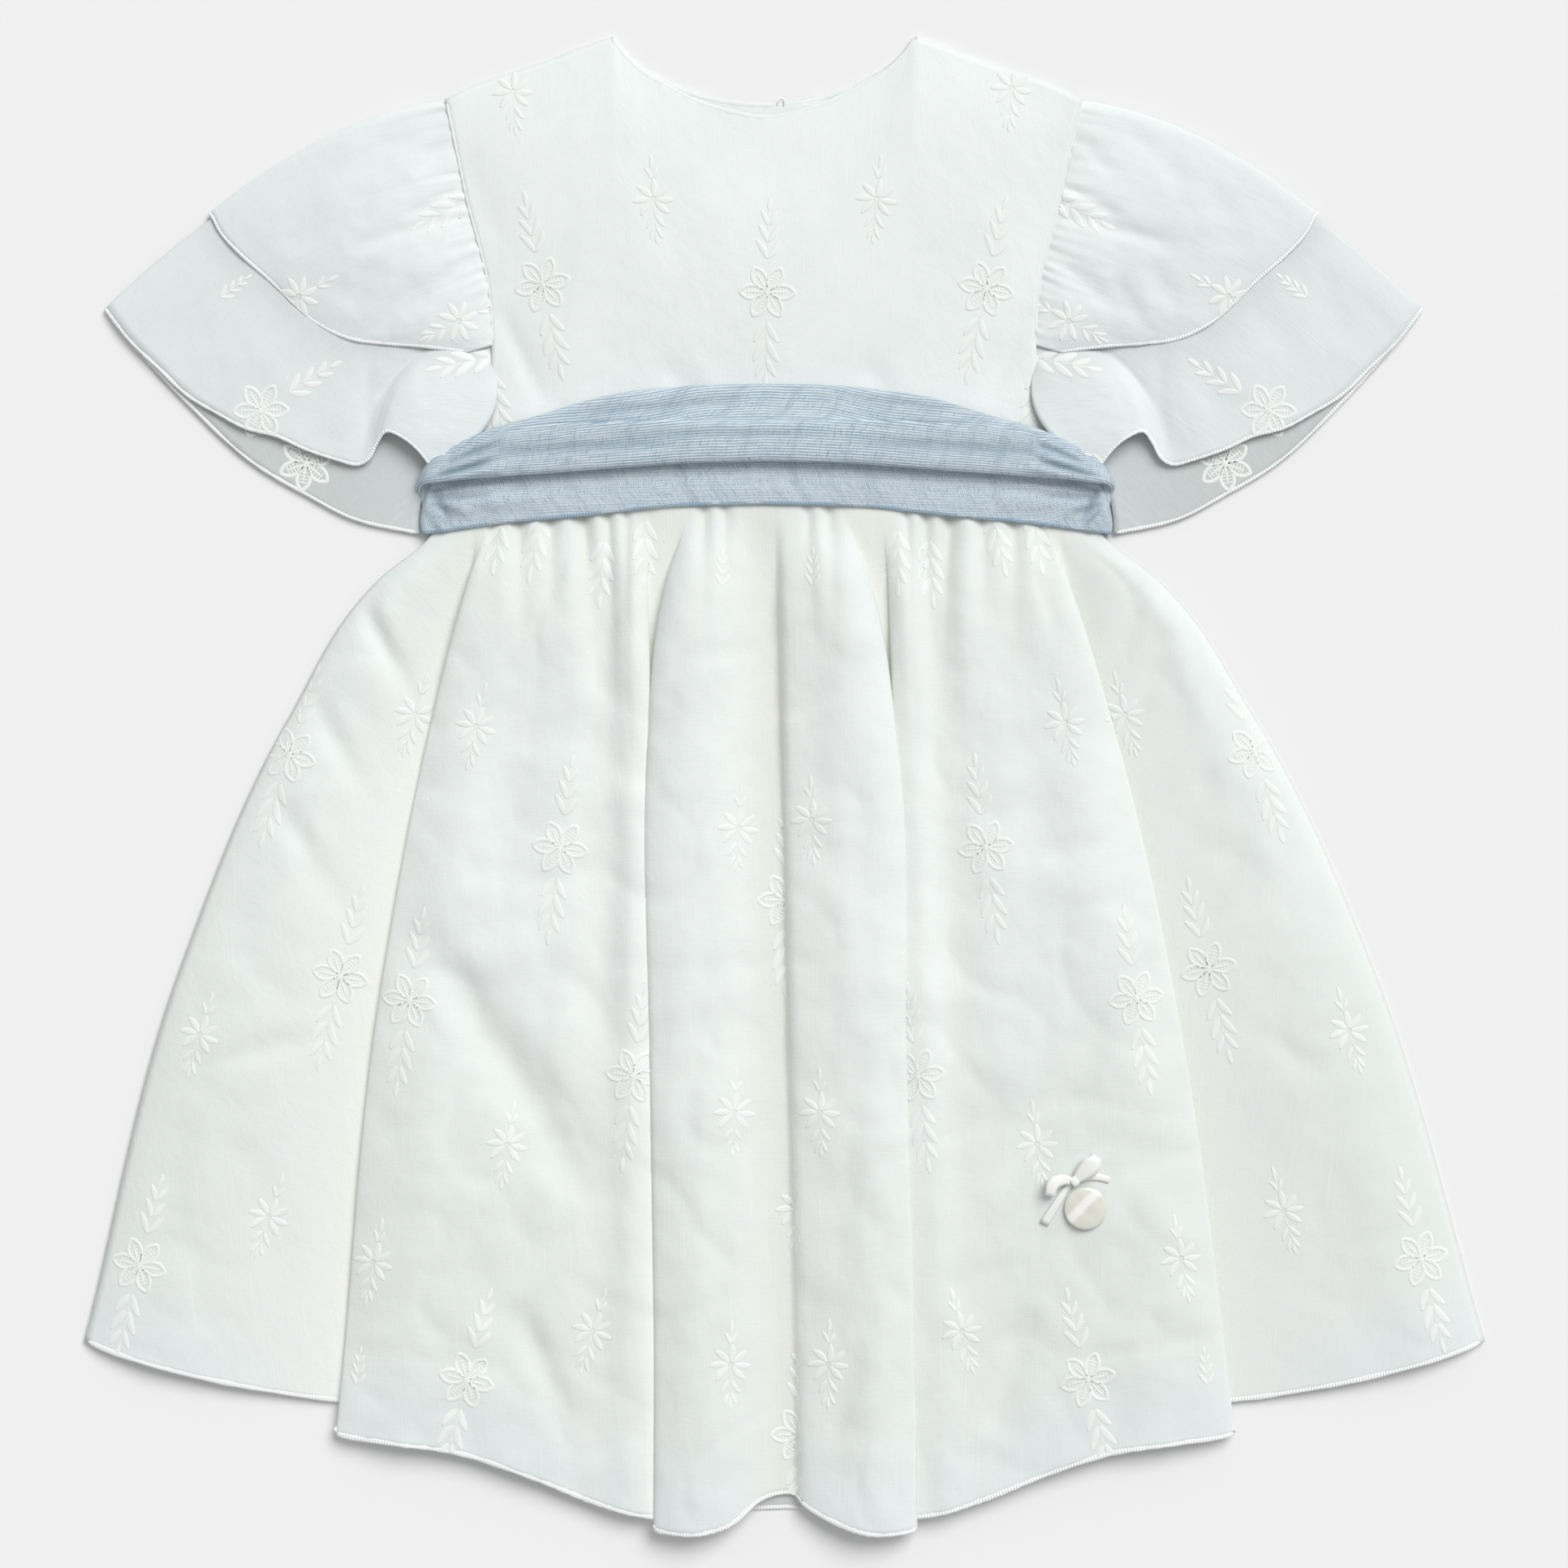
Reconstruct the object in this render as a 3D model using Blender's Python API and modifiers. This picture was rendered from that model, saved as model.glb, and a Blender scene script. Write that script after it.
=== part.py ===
"""Baby dress with flutter sleeves and a waist sash, laid flat on its back."""
from collections import namedtuple
import math

import bpy
from mathutils import Vector

MM = 0.001
CLOTH = 1.0
GAP = 0.3
SEAM_GAP = 0.5
SLEEVE_GAP = 0.8
REST = 0.5 * CLOTH
WAIST_HALF = 129.6
WAIST_Y = 117.1
WAIST_DROP = 8.3
WAIST_SIDE_RISE = 3.3
WAIST_CROWN = 2.7
SASH_STEP = 1.5
SASH_TURN_RADIUS = 2.15
SASH_BACK_HEM_Y = 99.0
SASH_BACK_TOP_Y = 137.0
GATHER_PITCH = 12.8
GATHER_DEPTH = 1.5
BACK_OPENING = 0.3
BUTTON_RADIUS = 4.0
BUTTON_THICK = 1.4
BUTTON_Y = 262.0
BUTTON_LIFT = 1.5
BUTTON_CLEAR = 15.0
CHARM_X = 118.7
CHARM_Y = -167.0
CHARM_REACH = 16.0
DISC_RADIUS = 8.4
DISC_THICK = 1.6
KNOT_X = -1.9
KNOT_Y = 12.2
BOW_ANGLE = 26.0
BOW_REACH = 7.4
BOW_WIDTH = 2.3
BOW_PUFF = 1.4
TAIL_WIDTH = 1.8

# Half widths and rises of one lengthwise fold line, waist to hem.
Fold = namedtuple("Fold", "name waist sash yoke upper middle hem "
                  "yoke_rise upper_rise middle_rise hem_rise hem_y gather cells")
Edge = namedtuple("Edge", "half y")
Side = namedtuple("Side", "y half")
# One line of cloth from the armhole to the sleeve hem.
Ray = namedtuple("Ray", "name seam_y hem_half hem_y bow_half bow_y seam_rise hem_rise loft cells")
# Heights on the page of the sash's creases at one section across the waist.
Section = namedtuple("Section", "name across hem_y lip_y crease_y top_y")
# One lengthwise crease of the sash. Its place is a distance from the edge it follows, or in the
# strip its share of the way from the crease line to the top edge.
Crease = namedtuple("Crease", "name follows place height")
Chest = namedtuple("Chest", "name along side shoulder neck centre")
Lean = namedtuple("Lean", "y x")
Tail = namedtuple("Tail", "x y")
Finish = namedtuple("Finish", "words colour roughness")

VOILE = Finish("white voile", (0.86, 0.89, 0.88), 0.8)
CHAMBRAY = Finish("blue chambray", (0.42, 0.53, 0.62), 0.85)
RIBBON = Finish("white ribbon", (0.90, 0.91, 0.88), 0.5)
SHELL = Finish("pale shell", (0.80, 0.76, 0.66), 0.25)
RESIN = Finish("white resin", (0.88, 0.88, 0.86), 0.35)

HALF_FOLDS = (
    Fold("side_seam", 129.6, 132.6, 152.6, 191.0, 235.9, 277.1, 1.8, 1.8, 1.8, 1.8, -220.5, 0.0, 1),
    Fold("side_roll", 127.7, 130.4, 149.6, 187.2, 229.9, 270.7, 4.2, 4.8, 4.5, 4.0, -223.4, 0.3, 2),
    Fold("side_swell", 124.2, 126.1, 143.4, 174.4, 211.2, 251.5, 6.5, 7.6, 7.0, 6.5, -229.8, 1.0, 3),
    Fold("side_hollow", 120.3, 121.6, 135.7, 158.4, 190.7, 220.8, 6.0, 5.6, 6.0, 5.0, -237.4, 1.0, 2),
    Fold("side_inner", 117.4, 118.1, 126.7, 144.6, 169.6, 192.0, 4.6, 3.8, 3.4, 3.0, -242.6, 0.5, 3),
    Fold("tuck_under", 115.5, 115.8, 117.6, 130.5, 149.0, 163.1, 3.0, 2.5, 2.3, 2.3, -247.0, 0.0, 2),
    Fold("tuck_tip", 114.3, 114.6, 117.0, 129.3, 147.8, 161.9, 4.6, 3.9, 3.7, 3.7, -249.0, 0.0, 2),
    Fold("tuck_over", 113.2, 113.5, 117.2, 130.5, 149.0, 163.1, 6.2, 5.3, 5.1, 5.1, -250.6, 0.0, 1),
    Fold("edge_under", 112.3, 112.5, 117.6, 134.5, 156.9, 176.1, 6.6, 5.4, 5.2, 5.2, -255.0, 0.0, 2),
    Fold("edge_tip", 111.2, 111.4, 117.8, 135.7, 158.1, 177.3, 8.0, 6.8, 6.6, 6.6, -256.6, 0.0, 2),
    Fold("edge_top", 110.1, 110.3, 117.0, 134.5, 156.9, 176.1, 9.3, 8.2, 8.0, 8.0, -257.6, 0.3, 2),
    Fold("panel_swell", 104.3, 104.3, 106.2, 119.0, 137.6, 153.6, 9.6, 10.2, 10.4, 9.2, -261.1, 1.0, 4),
    Fold("panel_middle", 90.9, 90.9, 91.5, 101.1, 112.6, 128.0, 9.0, 8.8, 9.2, 8.2, -265.0, 1.0, 4),
    Fold("panel_inner", 75.5, 75.5, 76.2, 80.6, 88.3, 99.2, 9.4, 9.2, 8.4, 7.6, -274.9, 1.0, 4),
    Fold("panel_hollow", 62.1, 62.1, 63.4, 65.9, 69.1, 76.8, 7.6, 7.4, 7.0, 7.2, -283.8, 1.0, 3),
    Fold("slit_ridge", 52.5, 52.5, 53.4, 55.0, 57.6, 61.4, 10.6, 10.2, 9.4, 8.4, -288.6, 0.5, 2),
    Fold("slit_edge", 47.7, 47.7, 47.7, 49.0, 50.2, 51.5, 7.8, 7.4, 6.8, 5.8, -290.2, 0.0, 2),
    Fold("slit_outer", 44.2, 44.8, 47.4, 51.2, 52.8, 54.7, 4.2, 3.7, 3.3, 2.9, -289.0, 0.0, 2),
    Fold("slit_floor", 38.4, 39.0, 43.2, 47.0, 48.6, 49.9, 3.2, 2.4, 2.0, 1.8, -288.0, 0.0, 2),
    Fold("slit_inner", 32.0, 32.6, 38.1, 43.5, 44.5, 45.4, 4.2, 3.7, 3.3, 2.9, -289.3, 0.0, 2),
    Fold("roll_edge", 30.7, 31.4, 39.0, 45.4, 47.0, 48.3, 8.2, 8.0, 7.6, 6.4, -294.4, 0.0, 2),
    Fold("roll_outer", 26.9, 27.5, 34.9, 41.6, 42.6, 43.2, 11.6, 12.2, 11.6, 9.8, -296.0, 0.4, 2),
    Fold("roll_crest", 20.2, 20.5, 25.6, 31.4, 32.6, 33.9, 13.2, 13.8, 13.4, 11.6, -296.3, 0.6, 3),
    Fold("roll_inner", 12.8, 13.1, 15.4, 18.6, 19.8, 21.1, 10.6, 11.4, 11.0, 9.2, -292.5, 0.5, 2),
)
CENTRE_FOLDS = (
    Fold("valley_left", 7.0, 7.0, 7.4, 8.3, 9.0, 9.9, 6.4, 6.4, 6.0, 5.2, -283.5, 0.3, 2),
    Fold("valley_floor", 0.6, 0.6, 0.6, 1.0, 1.3, 1.9, 4.6, 4.2, 3.9, 3.4, -281.0, 0.0, 2),
    Fold("valley_right", -4.2, -4.2, -3.8, -3.5, -3.5, -3.8, 5.0, 4.4, 4.1, 3.6, -281.3, 0.0, 1),
    Fold("edge_crisp", -6.4, -6.4, -6.1, -5.4, -5.8, -6.7, 8.4, 8.0, 7.6, 6.4, -284.8, 0.0, 2),
)
FRONT_NECK = (
    Edge(0.0, 264.3),
    Edge(13.4, 266.6),
    Edge(26.2, 270.7),
    Edge(36.8, 276.2),
    Edge(47.7, 282.6),
    Edge(55.0, 289.6),
    Edge(59.5, 296.0),
)
BACK_NECK = (
    Edge(0.0, 269.4),
    Edge(13.4, 270.4),
    Edge(26.2, 273.3),
    Edge(36.8, 277.4),
    Edge(47.7, 283.5),
    Edge(55.0, 289.9),
    Edge(59.5, 296.0),
)
SHOULDER = (
    Edge(59.5, 296.0),
    Edge(73.6, 290.9),
    Edge(84.5, 286.7),
    Edge(99.2, 281.6),
    Edge(113.0, 276.8),
    Edge(126.1, 270.4),
)
SIDE_LINE = (
    Side(270.4, 126.1),
    Side(251.5, 122.2),
    Side(229.1, 117.4),
    Side(213.1, 113.0),
    Side(197.1, 109.4),
    Side(181.1, 108.0),
    Side(168.3, 107.8),
    Side(158.7, 109.1),
    Side(141.8, 115.2),
    Side(128.3, 121.9),
    Side(117.1, 127.0),
    Side(108.8, 129.6),
)
OUTER_RAYS = (
    Ray("back_low", 173.1, 119.0, 168.3, 0.0, 0.0, 0.5, 0.5, 0.0, 1),
    Ray("back_third", 197.1, 150.4, 173.4, 0.0, 0.0, 0.5, 0.5, 0.0, 1),
    Ray("back_second", 217.9, 177.9, 185.6, 0.0, 1.3, 0.5, 0.5, 0.0, 1),
    Ray("back_first", 240.3, 199.0, 204.8, 0.0, 4.5, 0.5, 0.5, 0.0, 1),
    Ray("back_top", 261.1, 213.8, 220.8, 0.0, 6.4, 0.5, 0.5, 0.0, 1),
    Ray("fold_under", 268.8, 218.2, 224.3, 0.0, 8.0, 1.2, 1.0, 0.0, 1),
    Ray("fold", 270.1, 219.5, 225.3, 0.0, 8.0, 2.45, 2.2, 0.0, 1),
    Ray("fold_over", 268.8, 218.2, 223.7, 0.0, 8.0, 3.7, 3.4, 0.0, 1),
    Ray("front_top", 261.1, 215.0, 217.6, 0.0, 6.4, 4.4, 4.2, 1.0, 1),
    Ray("front_first", 243.5, 207.4, 209.3, 0.0, 4.8, 4.4, 5.2, 3.0, 2),
    Ray("front_second", 225.3, 195.8, 199.0, 0.0, 2.6, 4.4, 6.4, 3.6, 2),
    Ray("front_third", 211.5, 177.9, 182.4, 0.0, 1.0, 4.4, 8.0, 3.0, 2),
    Ray("front_fourth", 200.3, 163.8, 175.4, 0.0, 0.0, 4.4, 9.0, 2.0, 1),
    Ray("front_fifth", 190.7, 150.4, 173.4, 0.0, 0.0, 4.4, 9.4, 1.2, 1),
    Ray("front_sixth", 181.1, 134.4, 172.2, 0.0, 0.0, 4.4, 8.4, 0.6, 1),
    Ray("front_low", 173.4, 117.1, 170.2, 0.0, 0.0, 4.4, 6.0, 0.2, 1),
)
INNER_RAYS = (
    Ray("back_low", 153.0, 139.8, 98.6, 9.6, 0.0, 1.8, 1.8, 0.0, 1),
    Ray("back_fifth", 166.0, 162.9, 104.3, 5.0, 0.0, 1.8, 1.8, 0.0, 1),
    Ray("back_fourth", 180.0, 181.1, 113.6, 1.3, 0.0, 1.8, 1.8, 0.0, 1),
    Ray("back_third", 200.3, 204.8, 128.0, 0.0, 1.3, 1.8, 1.8, 0.0, 1),
    Ray("back_second", 222.7, 229.1, 151.0, 0.0, 5.1, 1.8, 1.8, 0.0, 1),
    Ray("back_first", 248.3, 248.3, 171.5, 0.0, 9.6, 1.8, 1.8, 0.0, 1),
    Ray("back_top", 261.1, 257.3, 182.4, 0.0, 11.2, 1.8, 1.8, 0.0, 1),
    Ray("fold", 267.5, 260.8, 187.5, 0.0, 12.6, 2.45, 1.9, 0.0, 1),
    Ray("front_top", 261.1, 257.0, 182.4, 0.0, 11.2, 3.1, 3.0, 0.0, 1),
    Ray("front_first", 253.1, 250.9, 174.7, 0.0, 10.6, 3.1, 3.0, 0.6, 1),
    Ray("front_second", 240.3, 240.0, 164.2, 0.0, 8.0, 3.1, 3.2, 1.2, 1),
    Ray("front_third", 228.5, 228.5, 153.3, 0.0, 5.4, 3.1, 3.6, 1.4, 1),
    Ray("front_fourth", 218.2, 216.3, 145.9, 0.0, 3.5, 3.1, 4.0, 1.4, 1),
    Ray("front_fifth", 209.3, 205.4, 140.2, 0.0, 2.2, 3.1, 4.4, 1.2, 1),
    Ray("front_sixth", 201.6, 193.0, 137.0, 0.0, 1.3, 3.1, 4.6, 1.0, 1),
    Ray("front_seventh", 195.2, 181.8, 131.8, 0.0, 0.3, 3.1, 5.0, 0.8, 1),
    Ray("front_eighth", 189.4, 169.6, 127.7, 0.0, 0.0, 3.1, 4.8, 0.5, 1),
    Ray("valley_outer", 184.3, 161.0, 125.8, 0.0, 0.0, 3.1, 4.2, 0.3, 1),
    Ray("valley_inner", 180.2, 156.2, 128.3, 0.0, 0.0, 3.1, 5.2, 0.2, 1),
    Ray("flute_rise", 176.6, 152.6, 134.7, 0.0, 0.0, 3.1, 8.2, 0.2, 1),
    Ray("flute_left", 173.4, 149.1, 138.6, 0.0, 0.0, 3.1, 10.6, 0.4, 1),
    Ray("flute_top", 169.6, 142.7, 136.0, 0.0, 0.0, 3.1, 12.0, 0.8, 1),
    Ray("flute_right", 165.8, 137.0, 131.2, 1.3, 0.0, 3.1, 10.6, 0.6, 1),
    Ray("flute_end", 161.3, 133.8, 125.4, 2.6, 0.0, 3.1, 8.0, 0.2, 1),
)
SASH_SECTIONS = (
    Section("centre", 0.0, 110.4, 127.7, 142.4, 157.4),
    Section("inner", 0.27, 109.4, 126.7, 142.4, 156.5),
    Section("middle", 0.57, 105.3, 123.8, 141.4, 152.0),
    Section("outer", 0.8, 102.4, 121.6, 139.8, 143.7),
    Section("near_end", 0.92, 100.2, 120.3, 135.0, 139.5),
    Section("end", 1.0, 98.9, 119.0, 129.3, 134.4),
)
# The page line the two halves mirror about drifts a little towards the hem.
CENTRE_LINE = (
    Lean(400.0, -7.5), Lean(133.0, -7.5), Lean(104.3, -7.0), Lean(85.1, -6.4), Lean(37.1, -5.1),
    Lean(-30.1, -3.5), Lean(-106.9, -2.2), Lean(-154.9, -1.1), Lean(-202.9, 0.0), Lean(-400.0, 0.0),
)
FOLD_STATIONS = (0.0, 0.03, 0.08, 0.25, 0.55, 1.0)
RISE_STATIONS = (0.0, 0.025, 0.08, 0.25, 0.55, 1.0)
CHEST_ROWS = (
    Chest("top", 0.0, 4.4, 3.2, 2.2, 4.2),
    Chest("collar", 0.12, 4.4, 6.4, 5.8, 5.2),
    Chest("upper", 0.30, 4.4, 7.4, 8.2, 7.6),
    Chest("middle", 0.46, 4.4, 7.0, 8.0, 8.2),
    Chest("lower", 0.60, 4.4, 6.0, 7.0, 7.4),
)
CHEST_ACROSS = (1.0, 0.8, 0.5, 0.0)
SASH_CREASES = (
    Crease("hem", "hem_y", 0.0, 0.0),
    Crease("flat_low", "hem_y", 5.6, 0.5),
    Crease("flat_high", "lip_y", -1.9, 0.0),
    Crease("tuck_in", "lip_y", 6.6, 0.0),
    Crease("tuck_turn", "lip_y", 7.6, 1.3),
    Crease("tuck_out", "lip_y", 6.0, 2.5),
    Crease("lip_under", "lip_y", 1.0, 3.6),
    Crease("lip", "lip_y", -0.3, 4.9),
    Crease("lip_over", "lip_y", 1.0, 6.2),
    Crease("roll", "lip_y", 7.4, 6.5),
    Crease("crease", "strip", 0.0, 5.2),
    Crease("strip_low", "strip", 0.3, 3.8),
    Crease("strip_high", "strip", 0.7, 3.6),
    Crease("top_over", "strip", 0.94, 2.9),
    Crease("top", "strip", 1.0, 1.7),
    Crease("top_under", "strip", 0.85, 0.2),
)
# Half width the sash reaches to at each height on the page.
SASH_END = (
    Side(150.0, 117.0), Side(141.0, 119.5), Side(135.0, 122.5), Side(131.0, 125.0), Side(126.0, 128.5),
    Side(119.0, 132.8), Side(112.0, 135.2), Side(105.0, 136.2), Side(98.0, 136.0),
)
SKIRT_BACK_HEM = (
    Edge(0.0, -287.0), Edge(32.0, -287.6), Edge(64.0, -282.9), Edge(96.0, -273.9),
    Edge(134.4, -261.1), Edge(160.0, -249.8), Edge(176.6, -243.0), Edge(192.0, -239.4),
    Edge(224.0, -234.2), Edge(262.4, -224.3), Edge(277.1, -220.5),
)
TAIL_LINE = (
    Tail(-10.5, -19.5), Tail(-7.5, -12.0), Tail(-5.0, -6.0), Tail(-3.4, -2.2), Tail(0.0, -0.6),
    Tail(3.4, -2.2), Tail(5.0, -7.0), Tail(6.2, -13.0), Tail(7.0, -18.5),
)
SKIRT_ROWS = (0.0, 0.025, 0.05, 0.08, 0.13, 0.19, 0.27, 0.38, 0.52, 0.68, 0.84, 1.0)
SKIRT_BACK_ROWS = (0.0, 0.03, 0.055, 0.08, 0.25, 0.55, 1.0)
SKIRT_BACK_COLUMNS = 16
BODICE_ROWS = (0.0, 0.06, 0.14, 0.24, 0.35, 0.46, 0.56, 0.66, 0.74, 0.82, 0.91, 1.0)
NECK_COLUMNS = 6
SHOULDER_COLUMNS = 6
OUTER_STEPS = 7
INNER_STEPS = 9
SASH_ACROSS = (0.0, 0.12, 0.24, 0.36, 0.48, 0.6, 0.7, 0.8, 0.88, 0.95)
SASH_TURN = (90.0, 60.0, 36.0, 12.0, -12.0, -36.0, -60.0, -90.0)
SASH_BACK_ACROSS = (0.8, 0.4, 0.0)


def slopes(knots, values):
    """Tangents of a smooth line through values at uneven knots."""
    steps = [(b - a) / (t - s) for a, b, s, t in zip(values, values[1:], knots, knots[1:])]
    inner = [(p * (c - b) + q * (b - a)) / (c - a)
             for p, q, a, b, c in zip(steps, steps[1:], knots, knots[1:], knots[2:])]
    return [steps[0]] + inner + [steps[-1]]


def between(knots, values, tangents, index, part):
    """The smooth line's value at a part of the way from one knot to the next."""
    span = knots[index + 1] - knots[index]
    square, cube = part * part, part * part * part
    return (values[index] * (2 * cube - 3 * square + 1)
            + tangents[index] * ((cube - 2 * square + part) * span)
            + values[index + 1] * (3 * square - 2 * cube)
            + tangents[index + 1] * ((cube - square) * span))


def smooth(knots, values, at):
    """A smooth curve read at one place, held flat beyond its ends."""
    at = min(max(at, knots[0]), knots[-1])
    index = max(i for i in range(len(knots) - 1) if knots[i] <= at)
    part = (at - knots[index]) / (knots[index + 1] - knots[index])
    return between(knots, values, slopes(knots, values), index, part)


def through(points, cells):
    """Points of a smooth line through points, with so many steps in each span."""
    knots = [0.0]
    for start, end in zip(points, points[1:]):
        knots.append(knots[-1] + math.sqrt((end - start).length))
    tangents = slopes(knots, points)
    line = [between(knots, points, tangents, index, step / count)
            for index, count in enumerate(cells) for step in range(count)]
    return line + [points[-1]]


def centre_x(y):
    return smooth([row.y for row in CENTRE_LINE[::-1]], [row.x for row in CENTRE_LINE[::-1]], y)


def placed(half, y, rise, side):
    """A point in metres from a half width, a height on the page and a rise off the floor."""
    return Vector((side * half + centre_x(y), y, rise)) * MM


def side_half(y):
    """Half width of the bodice at its armhole and side seam."""
    return smooth([row.y for row in SIDE_LINE[::-1]], [row.half for row in SIDE_LINE[::-1]], y)


def waist_y(half):
    return WAIST_Y - WAIST_DROP * (half / WAIST_HALF) ** 2


def waist_rise(half):
    """Height of the front cloth where the bodice meets the skirt."""
    return WAIST_SIDE_RISE + WAIST_CROWN * max(0.0, 1.0 - (abs(half) / WAIST_HALF) ** 4)


def eased(part):
    """From one down to nothing as part goes from nothing to one."""
    part = min(1.0, max(0.0, part))
    return 1.0 - part * part * (3.0 - 2.0 * part)


def back_rise(half, y):
    """The back lies on the floor and lifts only over the sash and the button."""
    distance = max(0.0, SASH_BACK_HEM_Y - y, y - SASH_BACK_TOP_Y)
    over_button = math.hypot(half, y - BUTTON_Y) - BUTTON_CLEAR
    return REST + SASH_STEP * eased(distance / 16.0) + BUTTON_LIFT * eased(over_button / 14.0)


def gather(waist_half, along):
    """Depth of the uneven gathers that fade out below the waist."""
    if along > 0.30:
        return 0.0
    grow = min(1.0, max(0.0, (along - 0.025) / 0.03))
    fade = (1.0 - along / 0.30) ** 1.5
    shift = 2.4 * math.sin(waist_half / 21.0) + 1.3 * math.sin(waist_half / 8.7)
    height = 1.0 + 0.35 * math.sin(waist_half / 15.0 + 1.0)
    return GATHER_DEPTH * grow * fade * height * math.cos(2 * math.pi * (waist_half + shift) / GATHER_PITCH)


def fold_point(fold, side, along):
    """One fold line of the front skirt at a part of its length."""
    half = smooth(FOLD_STATIONS, (fold.waist, fold.sash, fold.yoke, fold.upper, fold.middle, fold.hem), along)
    start = waist_rise(fold.waist)
    rise = smooth(RISE_STATIONS,
                  (start, start, fold.yoke_rise, fold.upper_rise, fold.middle_rise, fold.hem_rise), along)
    top = waist_y(fold.waist) - SEAM_GAP
    y = top + (fold.hem_y - top) * along
    return placed(half, y, max(rise, back_rise(half, y) + CLOTH + GAP), side)


def skirt_front_rows():
    folds = [(fold, -1) for fold in HALF_FOLDS]
    folds += [(fold, -1) for fold in CENTRE_FOLDS]
    folds += [(fold, 1) for fold in HALF_FOLDS[::-1]]
    cells = [fold.cells for fold in HALF_FOLDS + CENTRE_FOLDS[:-1]] + [2]
    cells += [fold.cells for fold in HALF_FOLDS[-2::-1]]
    waists = through([Vector((side * fold.waist, fold.gather, 0.0)) for fold, side in folds], cells)
    rows = []
    for along in SKIRT_ROWS:
        line = through([fold_point(fold, side, along) for fold, side in folds], cells)
        for point, waist in zip(line, waists):
            point.z += gather(waist.x, along) * min(1.0, max(0.0, waist.y)) * MM
        rows.append(line)
    return rows


def skirt_back_rows():
    hem_halves = [edge.half for edge in SKIRT_BACK_HEM]
    hem_ys = [edge.y for edge in SKIRT_BACK_HEM]
    first = HALF_FOLDS[0]
    sides = (first.waist, first.sash, first.yoke, first.upper, first.middle, first.hem)
    rows = []
    for along in SKIRT_BACK_ROWS:
        line = []
        for column in range(-SKIRT_BACK_COLUMNS, SKIRT_BACK_COLUMNS + 1):
            share = abs(column) / SKIRT_BACK_COLUMNS
            top = waist_y(share * WAIST_HALF) - SEAM_GAP
            y = top + (smooth(hem_halves, hem_ys, share * first.hem) - top) * along
            half = share * smooth(FOLD_STATIONS, sides, along)
            line.append(placed(half, y, back_rise(half, y), math.copysign(1, column)))
        rows.append(line)
    return rows


def bodice_top(neck):
    """Points along the neckline and shoulder, centre to armhole."""
    points = through([Vector((edge.half, edge.y)) for edge in neck], [1] * (len(neck) - 1))
    shoulder = through([Vector((edge.half, edge.y)) for edge in SHOULDER], [1] * (len(SHOULDER) - 1))
    return points + shoulder[1:]


def chest_rise(share, along):
    """Height of the bodice front, from its rows of named heights."""
    waist = waist_rise(share * WAIST_HALF)
    values = [smooth(CHEST_ACROSS[::-1], (row.centre, row.neck, row.shoulder, row.side), share)
              for row in CHEST_ROWS]
    stations = [row.along for row in CHEST_ROWS] + [0.72, 0.86, 1.0]
    return smooth(stations, values + [waist, waist, waist], along)


def bodice_rows(neck, side, front, columns):
    """Rows of one half of a bodice layer, top edge to waist."""
    top = bodice_top(neck)
    top_half = top[-1].x
    rows = []
    for along in BODICE_ROWS:
        line = []
        for index in columns:
            start = top[index]
            share_top = start.x / top_half
            share = share_top + (index / (len(top) - 1) - share_top) * along
            end_y = waist_y(share * WAIST_HALF)
            y = start.y + (end_y - start.y) * along
            seam_y = top[-1].y + (waist_y(WAIST_HALF) - top[-1].y) * along
            half = share * side_half(seam_y)
            rise = back_rise(half, y)
            if front:
                rise = max(rise + CLOTH + GAP, chest_rise(share, along))
            else:
                half += BACK_OPENING * (1.0 - share)
            line.append(placed(half, y, rise, side))
        rows.append(line)
    return rows


def sleeve_rows(rays, steps, side):
    """Rows of a sleeve tier from the armhole to its hem, back round to front."""
    cells = [ray.cells for ray in rays[:-1]]
    rows = []
    for step in range(steps + 1):
        part = step / steps
        hump = 4.0 * part * (1.0 - part)
        points = []
        for ray in rays:
            seam_half = side_half(ray.seam_y) + SLEEVE_GAP
            half = seam_half + (ray.hem_half - seam_half) * part + ray.bow_half * hump
            y = ray.seam_y + (ray.hem_y - ray.seam_y) * part + ray.bow_y * hump
            rise = ray.seam_rise + (ray.hem_rise - ray.seam_rise) * part + ray.loft * hump
            points.append(placed(half, y, rise, side))
        rows.append(through(points, cells))
    return rows


def sash_front(across):
    """The sash's folded section at a part of the way from centre to end."""
    stations = [row.across for row in SASH_SECTIONS]
    edges = {name: smooth(stations, [getattr(row, name) for row in SASH_SECTIONS], across)
             for name in ("hem_y", "lip_y", "crease_y", "top_y")}
    strip = edges["top_y"] - edges["crease_y"]
    return [edges["crease_y"] + crease.place * strip if crease.follows == "strip"
            else edges[crease.follows] + crease.place for crease in SASH_CREASES]


def sash_reach(y):
    """Half width of the sash's turn line at a height on the page."""
    rows = SASH_END[::-1]
    return smooth([row.y for row in rows], [row.half for row in rows], y) - SASH_TURN_RADIUS


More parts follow.
